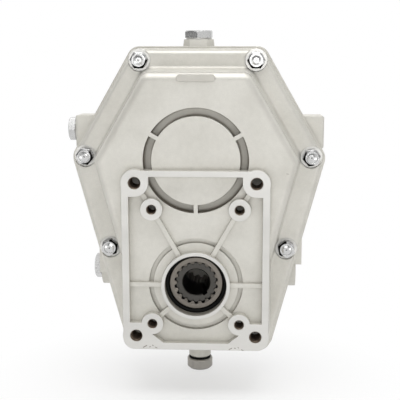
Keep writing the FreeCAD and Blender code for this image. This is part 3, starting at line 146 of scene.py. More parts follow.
def feed(tree, socket, value):
    """Links a socket where the value is a socket too, and sets it where it is a number or colour."""
    if isinstance(value, bpy.types.NodeSocket):
        tree.links.new(value, socket)
    else:
        socket.default_value = value


def put(tree, kind, values=None, **settings):
    """Adds a shader node with its settings; values feeds its sockets by name or number."""
    node = tree.nodes.new(kind)
    for key, value in settings.items():
        setattr(node, key, value)
    for key, value in (values or {}).items():
        feed(tree, node.inputs[key], value)
    return node


def maths(tree, operation, *values, clamp=False):
    node = put(tree, "ShaderNodeMath", dict(enumerate(values)), operation=operation, use_clamp=clamp)
    return node.outputs[0]


def times(tree, first, second):
    return maths(tree, "MULTIPLY", first, second)


def vectors(tree, operation, *values):
    """Arithmetic on vectors, whose result is a number for a product, a length or a distance."""
    node = put(tree, "ShaderNodeVectorMath", dict(enumerate(values)), operation=operation)
    is_number = operation in ("DOT_PRODUCT", "LENGTH", "DISTANCE")
    return node.outputs["Value" if is_number else "Vector"]


def ramp(tree, value, low, high, to_low=0.0, to_high=1.0):
    """A straight ramp between two values, held flat outside them."""
    node = put(tree, "ShaderNodeMapRange",
               {"Value": value, "From Min": low, "From Max": high, "To Min": to_low, "To Max": to_high},
               clamp=True)
    return node.outputs["Result"]


def blend(tree, share, first, second, mode="MIX"):
    """A colour between two, the first where share is 0 and the second where it is 1."""
    node = put(tree, "ShaderNodeMix", {0: share, 6: first, 7: second}, data_type="RGBA", blend_type=mode)
    return node.outputs[2]


def tint_by(tint, factor, added=0.0):
    """A colour times a factor, with a little white added."""
    return [min(1.0, factor * channel + added) for channel in tint[:3]] + [1.0]


def noise(tree, place, size, detail=3.0, roughness=0.55, stretch=None):
    """Noise with features of about the given size, stretched along an axis where stretch says so."""
    if stretch is not None:
        place = put(tree, "ShaderNodeMapping", {"Vector": place, "Scale": stretch}).outputs[0]
    is_socket = isinstance(size, bpy.types.NodeSocket)
    scale = maths(tree, "DIVIDE", 1.0, size) if is_socket else 1.0 / size
    node = put(tree, "ShaderNodeTexNoise",
               {"Vector": place, "Scale": scale, "Detail": detail, "Roughness": roughness})
    return node.outputs["Fac"]


def object_place(tree):
    return put(tree, "ShaderNodeTexCoord").outputs["Object"]


def from_line(tree, place, x, z):
    """The way to a place from the line along Y at x and z, and how far that is."""
    offset = vectors(tree, "SUBTRACT", place, (x, 0.0, z))
    across = vectors(tree, "MULTIPLY", offset, (1.0, 0.0, 1.0))
    return across, vectors(tree, "LENGTH", across)


def group(name, inputs, outputs):
    """An empty node group with its sockets, its own input node and its own output node."""
    tree = bpy.data.node_groups.new(name, "ShaderNodeTree")
    for title, kind, value in inputs:
        tree.interface.new_socket(title, in_out="INPUT", socket_type=kind).default_value = value
    for title, kind in outputs:
        tree.interface.new_socket(title, in_out="OUTPUT", socket_type=kind)
    return tree, tree.nodes.new("NodeGroupInput"), tree.nodes.new("NodeGroupOutput")


# The shared effects' ramps: from, to, and the mask at each where that isn't 0 and 1
# These two shape the corner mask, which paints shade with grime where ambient occlusion finds a place
# closed in
GRIME_AND_SHADE_RAMP = (0.32, 0.86, 1.0, 0.0)
GRIME_AND_SHADE_BREAKUP = 0.24
CLOUD_RAMP = (0.38, 0.66)
EDGE_RAMP = (0.55, 0.99, 1.0, 0.0)
FINE_GRAIN_SHARE = 0.6


def grime_and_shade_group():
    """Dirt with painted shade in corners: how closed in a place is, broken up by noise, as a mask from 0 to
    1.
    """
    tree, given, out = group("corner grime",
                             [("Reach", "NodeSocketFloat", 0.006), ("Amount", "NodeSocketFloat", 1.0)],
                             [("Mask", "NodeSocketFloat")])
    closed = put(tree, "ShaderNodeAmbientOcclusion", {"Distance": given.outputs["Reach"]}, samples=8)
    broken = noise(tree, object_place(tree), 0.004, detail=4.0, roughness=0.6)
    openness = maths(tree, "ADD", closed.outputs["AO"], times(tree, broken, GRIME_AND_SHADE_BREAKUP))
    mask = ramp(tree, openness, *GRIME_AND_SHADE_RAMP)
    feed(tree, out.inputs["Mask"], maths(tree, "MULTIPLY", mask, given.outputs["Amount"], clamp=True))
    return tree


def grain_group():
    """Blasted grain: two sizes of noise added up as a height from 0 to 1, and wide clouds as a mask."""
    tree, given, out = group("blasted grain", [("Size", "NodeSocketFloat", 0.0007)],
                             [("Height", "NodeSocketFloat"), ("Cloud", "NodeSocketFloat")])
    place = object_place(tree)
    fine = noise(tree, place, given.outputs["Size"], detail=2.0, roughness=0.6)
    coarse = noise(tree, place, 0.0035, detail=2.0, roughness=0.5)
    height = maths(tree, "ADD", times(tree, fine, FINE_GRAIN_SHARE),
                   times(tree, coarse, 1.0 - FINE_GRAIN_SHARE))
    feed(tree, out.inputs["Height"], height)
    clouds = noise(tree, place, 0.035, detail=5.0, roughness=0.6)
    feed(tree, out.inputs["Cloud"], ramp(tree, clouds, *CLOUD_RAMP))
    return tree


def edge_group():
    """Edges: how far the rounded normal leans away from the flat one, as a mask, and that normal."""
    tree, given, out = group("edge shine", [("Radius", "NodeSocketFloat", 0.0006)],
                             [("Mask", "NodeSocketFloat"), ("Normal", "NodeSocketVector")])
    rounded = put(tree, "ShaderNodeBevel", {"Radius": given.outputs["Radius"]}, samples=6).outputs[0]
    flat = put(tree, "ShaderNodeNewGeometry").outputs["Normal"]
    feed(tree, out.inputs["Mask"], ramp(tree, vectors(tree, "DOT_PRODUCT", rounded, flat), *EDGE_RAMP))
    feed(tree, out.inputs["Normal"], rounded)
    return tree


def rub_group():
    """Fine turning or handling marks: stretched noise as a height from 0 to 1."""
    tree, given, out = group("fine rub marks",
                             [("Size", "NodeSocketFloat", 0.0015),
                              ("Stretch", "NodeSocketVector", (1.0, 1.0, 1.0))],
                             [("Height", "NodeSocketFloat")])
    marks = noise(tree, object_place(tree), given.outputs["Size"], roughness=0.6,
                  stretch=given.outputs["Stretch"])
    feed(tree, out.inputs["Height"], marks)
    return tree


MAKERS = {"grime_and_shade": grime_and_shade_group, "grain": grain_group, "edge": edge_group, "rub": rub_group}
SHARED = {}


def shared(tree, name, **values):
    """Places one of the shared effects in a material, with this material's own values."""
    if name not in SHARED:
        SHARED[name] = MAKERS[name]()
    node = tree.nodes.new("ShaderNodeGroup")
    node.node_tree = SHARED[name]
    for key, value in values.items():
        node.inputs[key].default_value = value
    return node.outputs


def blank(name):
    """A new material with an empty tree, its output and its surface shader."""
    material = bpy.data.materials.new(name)
    material.use_nodes = True
    tree = material.node_tree
    tree.nodes.clear()
    out = tree.nodes.new("ShaderNodeOutputMaterial")
    shader = tree.nodes.new("ShaderNodeBsdfPrincipled")
    tree.links.new(shader.outputs[0], out.inputs["Surface"])
    return material, tree, shader


def connect(tree, shader, **sockets):
    """Feeds the surface shader's sockets, with spaces in a name written as underscores."""
    for key, value in sockets.items():
        feed(tree, shader.inputs[key.replace("_", " ")], value)


def raise_marks(tree, height, strength, distance, over=None):
    """The surface normal with marks of the given height on it, over another normal where one is given."""
    values = {"Strength": strength, "Distance": distance, "Height": height}
    if over is not None:
        values["Normal"] = over
    return put(tree, "ShaderNodeBump", values).outputs[0]


# Scratches on the castings, in millimetres: start, end and half the width
SCARS = (
    ((73.0, 6.4, 92.6), (80.5, 6.4, 91.8), 0.30),
    ((-43.4, 0.0, -53.0), (-40.6, 0.0, -51.3), 0.42),
    ((-38.3, 0.0, -52.6), (-37.5, 0.0, -52.2), 0.36),
    ((-35.8, 0.0, -50.9), (-35.2, 0.0, -51.4), 0.40),
    ((-33.6, 0.0, -52.6), (-32.0, 0.0, -53.3), 0.34),
    ((27.6, 0.0, -53.7), (29.9, 0.0, -52.6), 0.38),
    ((32.2, 0.0, -52.4), (32.9, 0.0, -52.6), 0.42),
    ((35.0, 0.0, -51.7), (35.5, 0.0, -52.3), 0.34),
    ((37.9, 0.0, -53.6), (40.4, 0.0, -55.0), 0.38),
)

# Ring grooves, in millimetres: height, middle radius, width and how deep in they begin,
# then the soot on the floor and the soot with painted shade at the edges, as shares of full soot and shade
GROOVES = (
    (102.5, 39.4, 6.8, 6.9, 0.2, 0.9),
    (0.0, 36.8, 3.6, 6.9, 0.0, 0.4),
)

# The cover screws' axes, in millimetres: x and z. What lies within the reach of an axis is on the screw,
# and the crown is in the direction of this height on the middle line
SCREWS = [(side * x, z) for side in (-1, 1) for x, z in ((48.0, 181.7), (94.5, 102.1), (74.8, 24.1))]
SCREW_REACH = 10.0 * MM
CROWN_MIDDLE = 45.0

# A milled face looks forward: the Y of its normal is under this. The spot faces lie within this radius
# of a cover screw's axis, and further back than this depth
FORWARD_NORMAL = -0.9
SPOT_RADIUS = 9.3 * MM
SPOT_DEPTH = 28.0 * MM

# The small raised pad at the top of the crown, tinted a little darker than the rest: all that is
# further forward than this depth and higher than this
PAD_DEPTH = 6.1 * MM
PAD_HEIGHT = 150.0 * MM
PAD_DARKENING = 0.16

# The castings' finish, and their pairs for the cast skin and for a milled face
EDGE_BRIGHTNESS = 0.2
# How strongly painted shade with soot darkens the castings' colour
SOOT_AND_SHADE_STRENGTH = 0.85
SCAR_STRENGTH = 0.9
SCAR_DEPTH = 1.5
SOOT_ROUGHNESS = 0.2
GRAIN_STRENGTH = 0.55
ROUGHNESS_PAIR = (0.52, 0.36)
METALLIC_PAIR = (0.5, 0.65)
GRAIN_PAIR = (1.0, 0.15)
MILLING_SIZE = 0.02
MILLING_STRETCH = (0.25, 1.0, 1.0)
MILLING_SHADE = 0.9
# The spot faces' milled colour is lifted by this factor as painted light, against the shade of the screw
# heads
SPOT_PAINTED_LIGHT = 1.1

# The castings' ramps: from, to, and the value at each where that isn't 0 and 1
SPECKLE_RAMP = (0.34, 0.66, 0.955, 1.03)
MILLING_RAMP = (0.35, 0.7)
# Painted shade with soot fades out further back, and its broad part is weaker low down
SOOT_AND_SHADE_BY_DEPTH = (16.0 * MM, 24.0 * MM, 1.0, 0.25)
SOOT_AND_SHADE_BY_HEIGHT = (56.0 * MM, 64.0 * MM, 0.35, 1.0)
BORE_BY_RADIUS = (25.5 * MM, 25.8 * MM, 1.0, 0.0)
BORE_BY_DEPTH = (0.6 * MM, 3.5 * MM, 0.0, 0.8)
# From this share of a groove's half width out to its edge, painted shade with soot darkens the groove
GROOVE_EDGE_SHADE_START = 0.45


def line_mask(tree, place, start, end, half_width):
    """1 within half_width of a straight line between two points, 0 outside: the distance to a capsule."""
    way = Vector(end) - Vector(start)
    offset = vectors(tree, "SUBTRACT", place, start)
    along = vectors(tree, "DOT_PRODUCT", offset, way)
    share = maths(tree, "DIVIDE", along, way.length_squared, clamp=True)
    foot = put(tree, "ShaderNodeVectorMath", {0: way, "Scale": share}, operation="SCALE").outputs[0]
    gap = vectors(tree, "DISTANCE", offset, foot)
    return ramp(tree, gap, half_width * 0.5, half_width, 1.0, 0.0)


def scar_mask(tree, place):
    """1 on the scratches, 0 elsewhere."""
    scar = 0.0
    for start, end, half in SCARS:
        mark = line_mask(tree, place, [MM * c for c in start], [MM * c for c in end], MM * half)
        scar = maths(tree, "MAXIMUM", scar, mark)
    return scar


def ring_place(tree, place, height, radius, half):
    """How far a place is from the middle circle of a ring groove: 0 on it and 1 at the groove's edges."""
    away = from_line(tree, place, 0.0, height)[1]
    return maths(tree, "DIVIDE", maths(tree, "ABSOLUTE", maths(tree, "SUBTRACT", away, radius)), half)


def screw_gap(tree, place):
    """The distance to the nearest cover screw's axis."""
    gap = 1.0
    for x, z in SCREWS:
        gap = maths(tree, "MINIMUM", gap, from_line(tree, place, MM * x, MM * z)[1])
    return gap


def crown_side(tree, place):
    """How far a place on a cover screw lies from the screw's axis towards the middle of the crown."""
    inward = 0.0
    for x, z in SCREWS:
        across, away = from_line(tree, place, MM * x, MM * z)
        way = Vector((-x, 0.0, CROWN_MIDDLE - z)).normalized()
        here = maths(tree, "LESS_THAN", away, SCREW_REACH)
        inward = maths(tree, "ADD", inward, times(tree, vectors(tree, "DOT_PRODUCT", across, way), here))
    return inward


def milled_masks(tree, place, axes, milled):
    """Where a casting is machined, and where that is a spot face round a cover screw."""
    normal = put(tree, "ShaderNodeNewGeometry").outputs["Normal"]
    facing = put(tree, "ShaderNodeSeparateXYZ", {0: normal}).outputs["Y"]
    front = maths(tree, "LESS_THAN", facing, FORWARD_NORMAL)
    near = maths(tree, "LESS_THAN", axes["Y"], milled)
    around = maths(tree, "LESS_THAN", screw_gap(tree, place), SPOT_RADIUS)
    spot = times(tree, around, maths(tree, "GREATER_THAN", axes["Y"], SPOT_DEPTH))
    return times(tree, front, maths(tree, "MAXIMUM", near, spot)), spot


def skin_colour(tree, look, axes, grain):
    """Clouded and speckled cast skin, tinted darker on the small pad."""
    skin = blend(tree, grain["Cloud"], look.skin, look.cloud)
    speck = ramp(tree, grain["Height"], *SPECKLE_RAMP)
    speck = put(tree, "ShaderNodeCombineColor", {0: speck, 1: speck, 2: speck}).outputs[0]
    skin = blend(tree, 1.0, skin, speck, "MULTIPLY")
    pad = times(tree, maths(tree, "LESS_THAN", axes["Y"], PAD_DEPTH),
                maths(tree, "GREATER_THAN", axes["Z"], PAD_HEIGHT))
    return blend(tree, times(tree, pad, PAD_DARKENING), skin, look.soot_and_shade)


def milled_colour(tree, look, place, spot):
    """Streaked milled metal, with painted light that brightens the spot faces."""
    streaks = noise(tree, place, MILLING_SIZE, roughness=0.5, stretch=MILLING_STRETCH)
    bright = blend(tree, ramp(tree, streaks, *MILLING_RAMP), look.machined,
                   tint_by(look.machined, MILLING_SHADE))
    # Painted light: the spot faces are brightened against the screw heads' shade
    return blend(tree, spot, bright, tint_by(look.machined, SPOT_PAINTED_LIGHT))


def soot_and_shade_mask(tree, place, axes, spot):
    """Soot with painted shade in corners and at the edges of the ring grooves, a little on the grooves'
    floors and darkening in the pilot bore, less of all of it further back.
    """
    # Ambient occlusion over a broad and a fine reach paints shade with soot into corners and creases
    broad_soot_and_shade = times(tree, shared(tree, "grime_and_shade", Reach=0.006, Amount=0.55)["Mask"],
                  ramp(tree, axes["Z"], *SOOT_AND_SHADE_BY_HEIGHT))
    crease_soot_and_shade = shared(tree, "grime_and_shade", Reach=0.0014, Amount=0.75)["Mask"]
    bore = times(tree, ramp(tree, from_line(tree, place, 0.0, 0.0)[1], *BORE_BY_RADIUS),
                 ramp(tree, axes["Y"], *BORE_BY_DEPTH))
    soot_and_shade = maths(tree, "MAXIMUM", maths(tree, "MAXIMUM", broad_soot_and_shade, crease_soot_and_shade), bore)
    for height, radius, width, depth, on_floor, at_edges in GROOVES:
        ring = ring_place(tree, place, MM * height, MM * radius, MM * width / 2)
        inside = times(tree, maths(tree, "GREATER_THAN", axes["Y"], depth * MM),
                       maths(tree, "LESS_THAN", ring, 1.0))
        # Painted shade with soot at the grooves' edges, lighter soot on their floors
        groove_soot_and_shade = ramp(tree, ring, GROOVE_EDGE_SHADE_START, 1.0, on_floor, at_edges)
        soot_and_shade = maths(tree, "MAXIMUM", times(tree, soot_and_shade, maths(tree, "SUBTRACT", 1.0, inside)),
                     times(tree, inside, groove_soot_and_shade))
    ahead = ramp(tree, axes["Y"], *SOOT_AND_SHADE_BY_DEPTH)
    return times(tree, soot_and_shade, maths(tree, "SUBTRACT", ahead, spot, clamp=True))


def casting_material(name, look, milled):
    """Blasted cast aluminium; milled says from which depth forward the faces are machined."""
    material, tree, shader = blank(name)
    place = object_place(tree)
    axes = put(tree, "ShaderNodeSeparateXYZ", {0: place}).outputs
    grain = shared(tree, "grain", Size=look.grain)
    edge = shared(tree, "edge", Radius=look.edge_radius)
    face, spot = milled_masks(tree, place, axes, milled)
    soot_and_shade_share = soot_and_shade_mask(tree, place, axes, spot)
    scar = scar_mask(tree, place)
    base = blend(tree, face, skin_colour(tree, look, axes, grain), milled_colour(tree, look, place, spot))
    base = blend(tree, times(tree, edge["Mask"], EDGE_BRIGHTNESS), base, look.machined)
    # Painted shade with soot darkens corners, groove edges and the pilot bore
    base = blend(tree, times(tree, soot_and_shade_share, SOOT_AND_SHADE_STRENGTH), base, look.soot_and_shade)
    base = blend(tree, times(tree, scar, SCAR_STRENGTH), base, look.soot_and_shade)
    rough = maths(tree, "ADD", ramp(tree, face, 0.0, 1.0, *ROUGHNESS_PAIR),
                  times(tree, soot_and_shade_share, SOOT_ROUGHNESS), clamp=True)
    relief = times(tree, grain["Height"], ramp(tree, face, 0.0, 1.0, *GRAIN_PAIR))
    relief = maths(tree, "SUBTRACT", relief, times(tree, scar, SCAR_DEPTH))
    connect(tree, shader, Base_Color=base, Roughness=rough, Specular_IOR_Level=0.3,
            Metallic=ramp(tree, face, 0.0, 1.0, *METALLIC_PAIR),
            Normal=raise_marks(tree, relief, GRAIN_STRENGTH, look.grain_depth, over=edge["Normal"]))
    return material


# Steel finishes: the factor and the white added at worn edges and how much of that shows,
# the ramp and the factor of darker patches, and the ramp and the strength of the rub marks
UNSTRETCHED = (1.0, 1.0, 1.0)
TURNED = (0.05, 1.0, 0.05)
WORN_EDGE = (1.25, 0.03)
WORN_SHARE = 0.5
PATCH_RAMP = (0.4, 0.7, 0.0, 0.25)
PATCH_SHADE = 0.72
RUB_RAMP = (0.3, 0.7)
RUB_STRENGTH = 0.4


def steel_material(name, tint, metallic=1.0, rough=0.3, spread=0.12, edge=0.0004, grime_and_shade=0.5, dark=0.05,
                   rub=0.0015, depth=0.00002, reach=0.003, stretch=UNSTRETCHED):
    """A metal finish: fine rub marks, edges that catch the light, and painted shade with soiling in the
    corners.
    """
    material, tree, shader = blank(name)
    marks = shared(tree, "rub", Size=rub, Stretch=stretch)["Height"]
    corner = shared(tree, "grime_and_shade", Reach=reach, Amount=grime_and_shade)["Mask"]
    shine = shared(tree, "edge", Radius=edge)
    base = blend(tree, times(tree, shine["Mask"], WORN_SHARE), tint, tint_by(tint, *WORN_EDGE))
    patch = ramp(tree, noise(tree, object_place(tree), 0.008, detail=4.0), *PATCH_RAMP)
    base = blend(tree, patch, base, tint_by(tint, PATCH_SHADE))
    # Painted shade with soiling: the corners darken towards the tint times dark
    base = blend(tree, corner, base, tint_by(tint, dark))
    connect(tree, shader, Base_Color=base, Metallic=metallic,
            Roughness=ramp(tree, marks, *RUB_RAMP, rough - spread / 2, rough + spread / 2),
            Normal=raise_marks(tree, marks, RUB_STRENGTH, depth, over=shine["Normal"]))
    return material


# Painted black shade on a screw head: from which distance off its axis, and how far towards the crown
HEAD_SHADE_BY_RADIUS = (5.0 * MM, 5.5 * MM)
HEAD_SHADE_BY_SIDE = (0.8 * MM, 2.0 * MM)
HEAD_SHADE = (0.006, 0.006, 0.005, 1.0)


def screw_material(name, tint):
    """Bright zinc with painted black shade on the head's corners next to the crown."""
    # Strong, far-reaching painted shade darkens the screws' corners
    material = steel_material(name, tint, rough=0.2, grime_and_shade=1.0, dark=0.03, depth=0.000008, reach=0.006)
    tree = material.node_tree
    place = object_place(tree)
    # Paints black shade on the head's corners that face the crown
    painted_head_shade = times(tree, ramp(tree, screw_gap(tree, place), *HEAD_SHADE_BY_RADIUS),
                   ramp(tree, crown_side(tree, place), *HEAD_SHADE_BY_SIDE))
    socket = tree.nodes["Principled BSDF"].inputs["Base Color"]
    tree.links.new(blend(tree, painted_head_shade, socket.links[0].from_socket, HEAD_SHADE), socket)
    return material


# Rubber's pale bloom: its ramp, the white that it adds and the roughness without and with it
BLOOM_RAMP = (0.45, 0.75, 0.0, 0.35)
BLOOM_WHITE = 0.008
RUBBER_ROUGHNESS = (0.5, 0.65)


def rubber_material(name, tint):
    """Moulded rubber with a faint bloom."""
    material, tree, shader = blank(name)
    place = object_place(tree)
    bloom = ramp(tree, noise(tree, place, 0.006, detail=4.0), *BLOOM_RAMP)
    grain = noise(tree, place, 0.0004, detail=2.0)
    connect(tree, shader, Base_Color=blend(tree, bloom, tint, tint_by(tint, 1.0, BLOOM_WHITE)),
            Roughness=ramp(tree, bloom, 0.0, BLOOM_RAMP[-1], *RUBBER_ROUGHNESS),
            Normal=raise_marks(tree, grain, strength=0.3, distance=0.00003), Specular_IOR_Level=0.1)
    return material


FIBRE_RAMP = (0.35, 0.65)
FIBRE_SHADE = 0.75


def paper_material(name, tint):
    """Gasket paper: short fibres."""
    material, tree, shader = blank(name)
    fibre = noise(tree, object_place(tree), 0.0012, detail=5.0, roughness=0.7)
    base = blend(tree, ramp(tree, fibre, *FIBRE_RAMP), tint, tint_by(tint, FIBRE_SHADE))
    connect(tree, shader, Base_Color=base, Roughness=0.85,
            Normal=raise_marks(tree, fibre, strength=0.5, distance=0.00008))
    return material


def dress(material, names):
    """Gives CAD nodes their material through their objects' own slots."""
    for name in names:
        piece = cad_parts[name]
        if not piece.material_slots:
            piece.data.materials.append(None)
        for slot in piece.material_slots:
            slot.link = "OBJECT"
            slot.material = material


# The depth down to which the cover's forward faces are milled, and a depth that nothing reaches
COVER_MILLED = 0.4 * MM
NOTHING_MILLED = -1.0


class GEARBOX_OT_castings(bpy.types.Operator):
    """Gives the cover and the housing their blasted skin, machined faces, scars and corners darkened by
    painted shade and release agent
    """
    bl_idname = "gearbox.castings"
    bl_label = "Finish the castings"

    def execute(self, context):
        look = context.scene.gearbox_casting
        dress(casting_material("cast cover", look, COVER_MILLED), ["front_cover"])
        dress(casting_material("cast housing", look, NOTHING_MILLED), ["rear_housing"])
        return {"FINISHED"}


class GEARBOX_OT_fasteners(bpy.types.Operator):
    """Gives the screws, spring washers and pins their zinc"""
    bl_idname = "gearbox.fasteners"
    bl_label = "Finish the screws"

    def execute(self, context):
        look = context.scene.gearbox_metal
        dress(screw_material("zinc screws", look.zinc), ["cover_bolts", "rear_tie_bolts", "dowel_pins"])
        dress(steel_material("zinc washers", tint_by(look.zinc, 0.9), rough=0.33, grime_and_shade=0.5),
              ["bolt_spring_washers"])
        return {"FINISHED"}


class GEARBOX_OT_plugs(bpy.types.Operator):
    """Gives the oil plugs their zinc, their sealing washers and the dark drain plug"""
    bl_idname = "gearbox.plugs"
    bl_label = "Finish the plugs"

    def execute(self, context):
        metal, seal = context.scene.gearbox_metal, context.scene.gearbox_seal
        dress(steel_material("zinc plugs", tint_by(metal.zinc, 0.95), rough=0.24, grime_and_shade=0.3,
                             depth=0.000006),
              ["filler_plug", "level_plug", "lower_side_plug"])
        dress(steel_material("soft washers", seal.alloy, rough=0.42, grime_and_shade=0.3), ["plug_washers"])
        dress(steel_material("dark plug", metal.phosphate, metallic=0.6, rough=0.42, grime_and_shade=0.4,
                             rub=0.0008, depth=0.00004),
              ["drain_plug"])
        return {"FINISHED"}


class GEARBOX_OT_running_gear(bpy.types.Operator):
    """Gives the shafts, gears, sleeve and spring rings their steels"""
    bl_idname = "gearbox.running_gear"
    bl_label = "Finish shafts and gears"

    def execute(self, context):
        look = context.scene.gearbox_metal
        dress(steel_material("hardened pinion", look.hardened, rough=0.4, grime_and_shade=0.6, edge=0.0003),
              ["pinion_shaft"])
        dress(steel_material("dark sleeve", look.sleeve, rough=0.38, grime_and_shade=0.5, edge=0.0003),
              ["pump_coupling"])
        dress(steel_material("ground shaft", look.ground, rough=0.3, spread=0.08, grime_and_shade=0.4,
                             depth=0.000003, edge=0.0006, stretch=TURNED),
              ["input_shaft", "gear_key"])
        dress(steel_material("hobbed gear", look.ground, rough=0.34, grime_and_shade=0.6, depth=0.000006),
              ["input_gear"])
        dress(steel_material("blued springs", look.blued, rough=0.35, grime_and_shade=0.2),
              ["gear_circlip", "input_bearing_circlip", "coupling_stop_ring"])
        return {"FINISHED"}


class GEARBOX_OT_bearings(bpy.types.Operator):
    """Gives the bearings, the seals and the gasket their finishes"""
    bl_idname = "gearbox.bearings"
    bl_label = "Finish bearings and seals"

    def execute(self, context):
        metal, seal = context.scene.gearbox_metal, context.scene.gearbox_seal
        nodes = [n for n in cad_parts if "bearing" in n and "circlip" not in n]
        cages = [n for n in nodes if n.endswith("cage")]
        dress(steel_material("bearing steel", metal.ground, rough=0.14, spread=0.05, grime_and_shade=0.2),
              [n for n in nodes if n not in cages])
        dress(steel_material("pressed cages", tint_by(metal.ground, 0.9), rough=0.36), cages)
        dress(rubber_material("seal rubber", seal.rubber),
              ["input_oil_seal", "output_oil_seal", "drain_washer"])
        dress(steel_material("garter springs", metal.ground, rough=0.3),
              ["input_seal_spring", "output_seal_spring"])
        dress(paper_material("gasket paper", seal.paper), ["cover_gasket"])
        return {"FINISHED"}


# A thread's ridge is a wave with this slope, less what is cut off it, held between 0 and 1
RIDGE_SLOPE = 2.6
RIDGE_CUT = 0.8
RIDGE_HEIGHT = 0.55
WALL_CLEARANCE = 0.02 * MM


def thread_surface(x, z, radius, pitch, mouth, depth, around, per_turn):
    """Points and faces of a tapped hole's wall about the line x, z along Y.

    The wall is a cylinder whose radius is the outside radius, less a hair's clearance and the ridge.
    The ridge is a trapezium wave of the way along divided by the pitch, less the share of a turn.
    It fades in over the first pitch and out over the last.
    """
    rows = int(depth / pitch) * per_turn + 1
    turn = np.linspace(0.0, 2.0 * np.pi, around, endpoint=False)
    way = np.linspace(0.0, depth, rows)
    bearing, along = np.meshgrid(turn, way)
    phase = np.mod(along / pitch - bearing / (2.0 * np.pi), 1.0)
    ridge = np.clip(RIDGE_SLOPE * (1.0 - 2.0 * np.abs(phase - 0.5)) - RIDGE_CUT, 0.0, 1.0)
    fade = np.clip(along / pitch, 0.0, 1.0) * np.clip((depth - along) / pitch, 0.0, 1.0)
    out = radius - WALL_CLEARANCE - RIDGE_HEIGHT * pitch * ridge * fade
    points = np.stack([x + out * np.cos(bearing), mouth + along, z + out * np.sin(bearing)], axis=-1)
    cell = np.arange((rows - 1) * around).reshape(rows - 1, around)
    right = np.roll(cell, -1, axis=1)
    faces = np.stack([cell, cell + around, right + around, right], axis=-1)
    return points.reshape(-1, 3), faces.reshape(-1, 4)


def mesh_piece(name, points, faces, material, body):
    """A new piece from arrays of points and four-cornered faces, shaded smooth, riding on a body."""
    mesh = bpy.data.meshes.new(name)
    mesh.from_pydata(points, [], faces.tolist())
    mesh.polygons.foreach_set("use_smooth", np.ones(len(faces), bool))
    mesh.materials.append(material)
    mesh.update()
    piece = bpy.data.objects.new(name, mesh)
    bpy.context.scene.collection.objects.link(piece)
    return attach(piece, body)


# The tapped holes' centres, then each set's piece, centres, outside radius, pitch setting and length
LARGE_HOLES = [(side * 49.2 * MM, z * MM) for side in (-1, 1) for z in (85.2, -42.9)]
SMALL_HOLES = [(side * 35.7 * MM, z * MM) for side in (-1, 1) for z in (63.6, -32.5)]
THREADS = (
    ("large_threads", LARGE_HOLES, 5.0 * MM, "large_pitch", 21.0 * MM),
    ("small_threads", SMALL_HOLES, 4.0 * MM, "small_pitch", 17.0 * MM),
)
THREAD_MOUTH = 0.5 * MM


class GEARBOX_OT_threads(bpy.types.Operator):
    """Cuts the threads into the tapped holes of the pump flange"""
    bl_idname = "gearbox.threads"
    bl_label = "Make the threads"

    def execute(self, context):
        look = context.scene.gearbox_thread
        material = steel_material("oiled threads", look.oil, metallic=0.7, rough=0.35, grime_and_shade=0.4)
        for name, holes, radius, pitch, depth in THREADS:
            walls = [thread_surface(x, z, radius, getattr(look, pitch), THREAD_MOUTH, depth,
                                    look.around, look.per_turn) for x, z in holes]
            points, faces = zip(*walls)
            starts = np.cumsum([0] + [len(wall) for wall in points[:-1]])
            faces = [wall + start for wall, start in zip(faces, starts)]
            mesh_piece(name, np.concatenate(points), np.concatenate(faces), material, "casing")
        return {"FINISHED"}


def background_rays(tree, share=1.0):
    """1 for a ray from the camera, and share for one off a glossy surface or through a clear one."""
    rays = tree.nodes.new("ShaderNodeLightPath").outputs
    mirrored = maths(tree, "MAXIMUM", rays["Is Glossy Ray"], rays["Is Transmission Ray"])
    return maths(tree, "MAXIMUM", rays["Is Camera Ray"], times(tree, mirrored, share))


def lamp(name, place, aim, size, power):
    """A soft rectangular lamp that points from its place to its aim."""
    light = bpy.data.lights.new(name, "AREA")
    light.shape = "RECTANGLE"
    light.size, light.size_y = size
    light.energy = power
    holder = bpy.data.objects.new(name, light)
    holder.location = place
    holder.rotation_euler = (Vector(aim) - Vector(place)).to_track_quat("-Z", "Y").to_euler()
    bpy.context.scene.collection.objects.link(holder)


# Where the lamps point, then each lamp's name, place, aim, width and height, and watts
MIDDLE = (0.0, 0.04, 0.06)
LOW_MIDDLE = (0.0, 0.0, -0.03)
LAMPS = (
    ("front panel", (0.04, -1.1, 0.24), MIDDLE, (0.45, 0.3), 1.7),
    ("left panel", (-0.6, -0.75, 0.05), MIDDLE, (0.5, 0.9), 0.7),
    ("right panel", (0.7, -0.65, 0.05), MIDDLE, (0.5, 0.9), 0.85),
    ("low left panel", (-0.36, -0.42, -0.03), LOW_MIDDLE, (0.3, 0.08), 0.18),
    ("low right panel", (0.36, -0.42, -0.03), LOW_MIDDLE, (0.3, 0.08), 0.18),
    ("top panel", (0.0, -0.1, 0.95), MIDDLE, (0.9, 0.7), 6.0),
)

# The tent's brightness by direction: axis, from, to, and the brightness at each
TENT = (
    ("Y", -1.0, -0.5, 0.28, 0.66),
    ("Z", -0.3, 0.8, 0.6, 1.25),
    ("X", -0.8, 0.1, 0.3, 1.0),
    ("X", 0.2, 0.9, 1.0, 0.45),
)
# Between these directions, from the front to the back, glossy surfaces come to see a plain white background
MIRRORED_BACKGROUND = (-0.5, 0.1)


